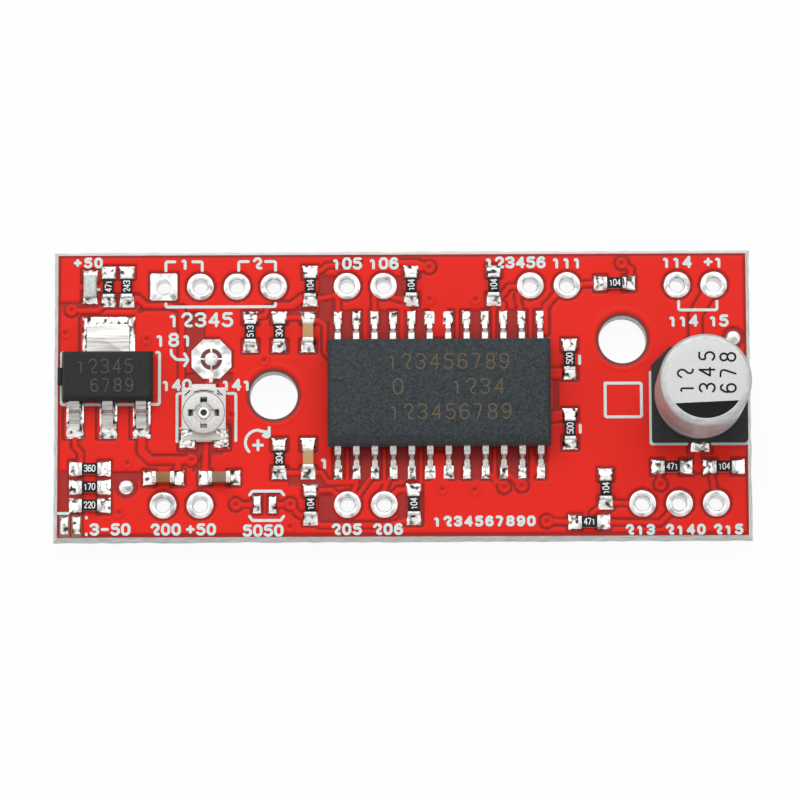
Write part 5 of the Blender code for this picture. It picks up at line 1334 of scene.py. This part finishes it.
# electrolytic capacitor
def makeCapacitor():
    can = {"topEdge": 0.38, "bead": 0.14, "beadAt": 1.35, "chord": 1.54, "sectorTurn": 2.5, "seatCut": 1.25}
    low, high = boxOf("capacitor_can")
    baseLow, baseHigh = boxOf("capacitor_base")
    radius = (high[0] - low[0]) / 2
    centre = (canX, canY)
    bm = bmesh.new()
    bead = low[2] + can["beadAt"]
    wall = [(radius - 0.25, low[2] + 0.02), (radius - 0.1, low[2]), (radius - 0.02, low[2] + 0.06), (radius,
            low[2] + 0.16),
            (radius, bead - 0.34), (radius - 0.03, bead - 0.24), (radius - can["bead"], bead - 0.1),
            (radius - can["bead"] - 0.02, bead), (radius - can["bead"], bead + 0.1), (radius - 0.03,
                    bead + 0.24),
            (radius, bead + 0.34)]
    wall += [(radius, high[2] - 0.5)]
    edge = can["topEdge"]
    for step in range(1, 7):
        angle = math.radians(90 * step / 6)
        wall.append((radius - edge * (1 - math.cos(angle)) * 0.75,
                     high[2] - 0.03 - edge + edge * math.sin(angle)))
    wall += [(radius - 0.36, high[2] - 0.02), (radius - 0.42, high[2] - 0.015)]
    inner = [(radius - 0.42, high[2] - 0.3), (radius - 0.25, high[2] - 0.5), (radius - 0.25, low[2] + 0.3)]
    turned(bm, centre, wall + inner, 0, 96, True)
    # the laminated top disc
    turned(bm, centre, [(radius - 0.44, high[2] - 0.2), (radius - 0.41, high[2] - 0.02), (radius - 0.45,
            high[2] - 0.008),
                        (radius - 1.2, high[2] - 0.006), (0.2, high[2] - 0.006)], 1, 96)
    keepPiece("capacitor_shell", asMesh("capacitor_shell", bm, ["can", "canTop"], 40),
              ("capacitor_can",))
    # black sector on the side of the negative lead, a thin printed film
    bm = bmesh.new()
    face = radius - 0.5
    reach = math.acos(can["chord"] / face)
    points = [(face * math.sin(-reach + 2 * reach * i / 40), -face * math.cos(-reach + 2 * reach * i / 40))
              for i in range(41)]
    tilt = math.radians(can["sectorTurn"])
    spun = [(px * math.cos(tilt) - py * math.sin(tilt), px * math.sin(tilt) + py * math.cos(tilt)) for px,
            py in points]
    loft(bm, [[(canX + px, canY + py, z) for px, py in spun] for z in (high[2] - 0.01, high[2] + 0.001)])
    keepPiece("capacitor_sector", asMesh("capacitor_sector", bm, ["canInk"], 40))
    z = high[2] - 0.002
    turn = math.radians(90)
    marks = written("12", (canX - 1.38, canY - 0.12), 1.02, 1.05, turn, 0.78, z) \
        + written("345", (canX + 0.08, canY + 0.5), 1.02, 1.08, turn, 0.78, z) \
        + written("678", (canX + 1.5, canY + 0.45), 1.02, 1.06, turn, 0.78, z)
    drawStrokes("capacitor_marks", marks, 0.13, 0.012, 0.22, "canInk")
    # moulded seat: square, two corners cut, with the can's cup cut into it
    bm = bmesh.new()
    halfX, halfY = (baseHigh[0] - baseLow[0]) / 2, (baseHigh[1] - baseLow[1]) / 2
    cx, cy = (baseLow[0] + baseHigh[0]) / 2, (baseLow[1] + baseHigh[1]) / 2
    cut = can["seatCut"]

    def seatLoop(inset, z):
        hx, hy = halfX - inset, halfY - inset
        c = cut - inset * 0.4
        s = 0.16
        return [(cx + hx, cy - hy + s, z), (cx + hx, cy + hy - c, z), (cx + hx - c, cy + hy, z), (cx - hx + c,
                cy + hy, z),
                (cx - hx, cy + hy - c, z), (cx - hx, cy - hy + s, z), (cx - hx + s * 0.3, cy - hy + s * 0.3,
                        z),
                (cx - hx + s, cy - hy, z), (cx + hx - s, cy - hy, z), (cx + hx - s * 0.3, cy - hy + s * 0.3,
                        z)]
    z0, z1 = baseLow[2], baseHigh[2]
    loft(bm, [seatLoop(0.05, z0), seatLoop(0.0, z0 + 0.05), seatLoop(0.0, z1 - 0.09), seatLoop(0.03,
            z1 - 0.03),
              seatLoop(0.1, z1)])
    cupBm = bmesh.new()
    turned(cupBm, centre, [(radius + 0.03, z1 - 0.3), (radius + 0.03, z1 + 0.5)], 0, 72)
    for side in (-1, 1):  # slots for the blades under the seat
        softBlock(cupBm, (canX, canY + side * (halfY - 1.0)), (0.36, 1.2), z0 - 0.2, z0 + 0.26, 0.02, 0.02)
    keepPiece("capacitor_seat", carve("capacitor_seat", bm, "seat", cupBm),
              ("capacitor_base",))
    # solder over the blades' ends
    bm = bmesh.new()
    for side in (-1, 1):
        def height(u, v, side=side):
            rim = max(0.0, (1 - abs(u) ** 5) * (1 - abs(v) ** 5)) ** 0.5
            return 0.035 + rim * (0.2 - 0.1 * v * side + 0.05 * math.cos(5 * u + 2 * v))
        patch(bm, (canX, canY + side * (halfY + 0.3)), (0.68, 0.36), height, boardTop, 14, 10)
    keepPiece("capacitor_solder", asMesh("capacitor_solder", bm, ["solder"], 60))


makeCapacitor()
for node, key in (("capacitor_lead_positive", "leadTin"), ("capacitor_lead_negative", "leadTin"),
                  ("capacitor_seal", "rubber"), ("capacitor_winding", "foil")):
    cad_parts[node].data.materials[0] = finish[key]
print("capacitor made")


# current trimmer
def turnedBox(bm, centre, half, z0, z1, degrees):
    cosT, sinT = math.cos(math.radians(degrees)), math.sin(math.radians(degrees))
    corners = [(half[0], half[1]), (-half[0], half[1]), (-half[0], -half[1]), (half[0], -half[1])]
    loft(bm, [[(centre[0] + x * cosT - y * sinT, centre[1] + x * sinT + y * cosT, z) for x, y in corners]
              for z in (z0, z1)])


def makeTrimmer():
    trim = {"discRadius": 1.44, "edge": 0.07, "dish": 0.66, "bore": 0.34, "slotWidth": 0.24, "slotReach": 1.1,
            "plateTop": 0.01, "gap": 0.025}
    low, high = boxOf("trimmer_rotor")
    baseLow, baseHigh = boxOf("trimmer_base")
    centre = (trimX, trimY)
    top, floor = high[2], low[2] + 0.02
    r, e = trim["discRadius"], trim["edge"]
    # rotor: pressed disc with a sunk middle and a cross slot whose ends slope
    bm = bmesh.new()
    turned(bm, centre, [(trim["bore"], floor), (trim["bore"], top - 0.24), (trim["dish"] - 0.07, top - 0.22),
                        (trim["dish"] - 0.02, top - 0.05), (trim["dish"] + 0.05,
                                                            top - 0.005), (trim["dish"] + 0.12, top),
                        (r - e, top), (r - e * 0.3, top - e * 0.3), (r, top - e), (r, floor + 0.05),
                        (r - 0.05, floor)], 0, 96, True)
    tool = bmesh.new()
    for quarter in range(4):
        angle = math.radians(90 * quarter)
        ux, uy = math.cos(angle), math.sin(angle)
        half = trim["slotWidth"]
        rows = ((0.3, top - 0.3), (0.74, top - 0.3), (0.78, floor - 0.1), (trim["slotReach"] - 0.12,
                floor - 0.1),
                (trim["slotReach"], top + 0.05), (0.3, top + 0.05))
        loops = []
        for side in (-1, 1):
            loops.append([(centre[0] + ux * a - uy * side * half, centre[1] + uy * a + ux * side * half, z)
                          for a, z in rows])
        loft(tool, loops)
    keepPiece("trimmer_rotor_disc", carve("trimmer_rotor_disc", bm, "trimmerMetal", tool, 28),
              ("trimmer_rotor",), rotorBody)
    # hollow rivet, with a black plug set in its bore as painted shade
    bm = bmesh.new()
    flange = top - 0.13
    turned(bm, centre, [(0.2, flange - 0.35), (0.2, flange - 0.03), (0.235, flange + 0.02), (0.3,
            flange + 0.035),
                        (0.38, flange + 0.01), (0.42, flange - 0.05), (0.4, flange - 0.07), (0.26,
                                flange - 0.07),
                        (0.26, baseLow[2] - 0.1), (0.12, baseLow[2] - 0.1), (0.12,
                                flange - 0.35)], 0, 48, True)
    # painted shade: a black plug in the carbon finish, put inside the bore where only shade falls
    turned(bm, centre, [(0.19, flange - 0.3), (0.19, flange - 0.12), (0.15, flange - 0.115)], 1, 24)
    keepPiece("trimmer_eyelet_rivet", asMesh("trimmer_eyelet_rivet", bm, ["eyelet", "carbonAndBoreShade"], 40),
              ("trimmer_eyelet",))
    # fired base
    bm = bmesh.new()
    mid = ((baseLow[0] + baseHigh[0]) / 2, (baseLow[1] + baseHigh[1]) / 2)
    half = ((baseHigh[0] - baseLow[0]) / 2, (baseHigh[1] - baseLow[1]) / 2)
    softBlock(bm, mid, (half[0] - 0.02, half[1] - 0.01), baseLow[2], low[2] - 0.1, 0.04, 0.12)
    keepPiece("trimmer_base_body", asMesh("trimmer_base_body", bm, ["alumina"], 40),
              ("trimmer_base",))
    # pressed cover with its tab: open in front, cut round the disc, slit at its corners
    bm = bmesh.new()
    coverTop = top - trim["plateTop"]
    backY = baseHigh[1] + 0.02
    outer = [(-1.52, -1.15), (-1.3, -1.15), (1.3, -1.15), (1.52, -1.15), (1.52, backY - trimY - 0.08),
             (1.44, backY - trimY), (0.84, backY - trimY), (0.82, backY - trimY + 0.2), (0.0,
                     backY - trimY + 0.22),
             (-0.82, backY - trimY + 0.2), (-0.84, backY - trimY), (-1.44, backY - trimY), (-1.52,
                     backY - trimY - 0.08)]
    loops = []
    for shrink, z in ((0.0, coverTop - 0.42), (0.0, coverTop - 0.05), (0.012, coverTop - 0.015), (0.05,
            coverTop)):
        loops.append([(trimX + x * (1 - shrink / 1.5), trimY + y * (1 - shrink / 1.7), z) for x, y in outer])
    loft(bm, loops)
    tool = bmesh.new()
    turned(tool, centre, [(r + trim["gap"], coverTop - 1), (r + trim["gap"], coverTop + 1)], 0, 96)
    for side in (-1, 1):
        turnedBox(tool, (trimX + side * 1.12, trimY + 1.36), (0.27, 0.05), coverTop - 0.4, coverTop + 0.1,
                  side * -45)
        turnedBox(tool, (trimX + side * 0.5, trimY + 1.46), (0.2, 0.045), coverTop - 0.4, coverTop + 0.1,
                  side * -14)
    turnedBox(tool, (trimX + 1.0, trimY + 1.28), (0.12, 0.045), coverTop - 0.4, coverTop + 0.1, -45)
    turnedBox(tool, (trimX, trimY + 1.53), (0.32, 0.05), coverTop - 0.4, coverTop + 0.1, 0)
    keepPiece("trimmer_cover", carve("trimmer_cover", bm, "trimmerMetal", tool, 30),
              ("trimmer_wiper_terminal",))
    # end terminals: pressed feet buried in lumpy solder at the two front corners
    bm = bmesh.new()
    for side in (-1, 1):
        softBlock(bm, (trimX + side * 1.2, baseLow[1] + 0.1), (0.4, 0.42), boardTop + 0.05, baseHigh[2] - 0.3,
                  0.06, 0.08)

        def height(u, v, side=side):
            rim = max(0.0, (1 - abs(u) ** 6) * (1 - abs(v) ** 6)) ** 0.5
            lumps = 0.07 * math.sin(5.3 * u + 2 * side) * math.cos(4.1 * v + side) + 0.05 * math.sin(9 * v + 6 * u * side)
            return 0.04 + rim * (0.22 + 0.5 * (v + 1) / 2 * (1 - 0.35 * abs(u)) + 0.9 * lumps)
        patch(bm, (trimX + side * 1.17, trimY - 1.62), (0.58, 0.78), height, boardTop, 26, 30)
    keepPiece("trimmer_end_solder", asMesh("trimmer_end_solder", bm, ["solder"], 60),
              ("trimmer_end_terminal_left", "trimmer_end_terminal_right"))
    bm = bmesh.new()
    softBlock(bm, (trimX, trimY - 1.78), (0.56, 0.14), boardTop + 0.02, boardTop + 0.42, 0.04, 0.05)
    softBlock(bm, (trimX, trimY + 1.86), (0.8, 0.17), boardTop + 0.02, coverTop - 0.3, 0.04, 0.05)
    keepPiece("trimmer_feet", asMesh("trimmer_feet", bm, ["trimmerMetal"], 40))


makeTrimmer()
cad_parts["trimmer_track"].data.materials[0] = finish["carbonAndBoreShade"]
print("trimmer made")


# camera, lights, floor
stage = {"worldLight": 0.42, "floorShare": 0.93, "floorReach": 3.0, "floorDrop": -0.0002, "lens": 219.8,
         "place": (0.000357, -0.048219, 0.335515), "turn": (8.157, 0.121, -0.2175)}


def seenItself(tree):
    # 1 where the floor or world is looked at, mirrored in metal or seen through glass, 0 where it only gives light
    path = addNode(tree, "ShaderNodeLightPath").outputs
    seen = addNode(tree, "ShaderNodeMath", {"operation": "MAXIMUM"}, i0=path["Is Camera Ray"],
                   i1=path["Is Glossy Ray"])
    return addNode(tree, "ShaderNodeMath", {"operation": "MAXIMUM"}, i0=seen.outputs[0],
                   i1=path["Is Transmission Ray"]).outputs[0]


def makeStage():
    cam = bpy.data.cameras.new("camera")
    cam.lens, cam.sensor_width = stage["lens"], 36
    cam.clip_start, cam.clip_end = 0.01, 5
    holder = bpy.data.objects.new("camera", cam)
    holder.location = stage["place"]
    holder.rotation_euler = [math.radians(a) for a in stage["turn"]]
    scene.collection.objects.link(holder)
    scene.camera = holder

    def lamp(name, place, size, power):
        light = bpy.data.lights.new(name, "AREA")
        light.shape, light.size, light.size_y = "RECTANGLE", size[0], size[1]
        light.energy = power
        there = bpy.data.objects.new(name, light)
        there.location = place
        there.rotation_euler = Vector(place).to_track_quat("Z", "Y").to_euler()
        scene.collection.objects.link(there)
    for lampRow in stageLamps:
        lamp(*lampRow)
    world = bpy.data.worlds.new("studio")
    scene.world = world
    world.use_nodes = True
    tree = world.node_tree
    back = tree.nodes["Background"]
    back.inputs[0].default_value = toLinear("#FFFFFF")
    back.inputs[1].default_value = stage["worldLight"]
    bright = addNode(tree, "ShaderNodeBackground", Color=toLinear("#FFFFFF"), Strength=1.0)
    mixed = addNode(tree, "ShaderNodeMixShader", i0=seenItself(tree), i1=back.outputs[0],
                    i2=bright.outputs[0])
    tree.links.new(mixed.outputs[0], tree.nodes["World Output"].inputs[0])

    floorMesh = bpy.data.meshes.new("studio_floor")
    reach, drop = stage["floorReach"], stage["floorDrop"]
    floorMesh.from_pydata([(-reach, -reach, drop), (reach, -reach, drop), (reach, reach, drop),
                           (-reach, reach, drop)], [], [(0, 1, 2, 3)])
    made, tree, shader = newMaterial("studio_paper", "#FAFAFA", 0.9)
    share = addNode(tree, "ShaderNodeMath", {"operation": "MULTIPLY"}, i0=seenItself(tree),
                    i1=stage["floorShare"])
    glow = addNode(tree, "ShaderNodeEmission", Color=toLinear("#FFFFFF"), Strength=1.0)
    mixed = addNode(tree, "ShaderNodeMixShader", i0=share.outputs[0], i1=shader.outputs[0],
                    i2=glow.outputs[0])
    tree.links.new(mixed.outputs[0], tree.nodes["Material Output"].inputs[0])
    floorMesh.materials.append(made)
    ground = inScene("studio_floor", floorMesh)


# name, place, size, power
stageLamps = [
    ("north_softbox", (-0.02, 0.4, 0.6), (0.9, 0.56), 3.4),
    ("left_card", (-0.6, 0.0, 0.45), (0.25, 0.5), 0.5),
    ("right_card", (0.6, 0.05, 0.45), (0.25, 0.5), 0.35),
    ("front_fill", (0.1, -0.6, 0.4), (0.6, 0.2), 0.35),
]
makeStage()
scene.view_settings.view_transform = "Standard"

print("all pieces made")
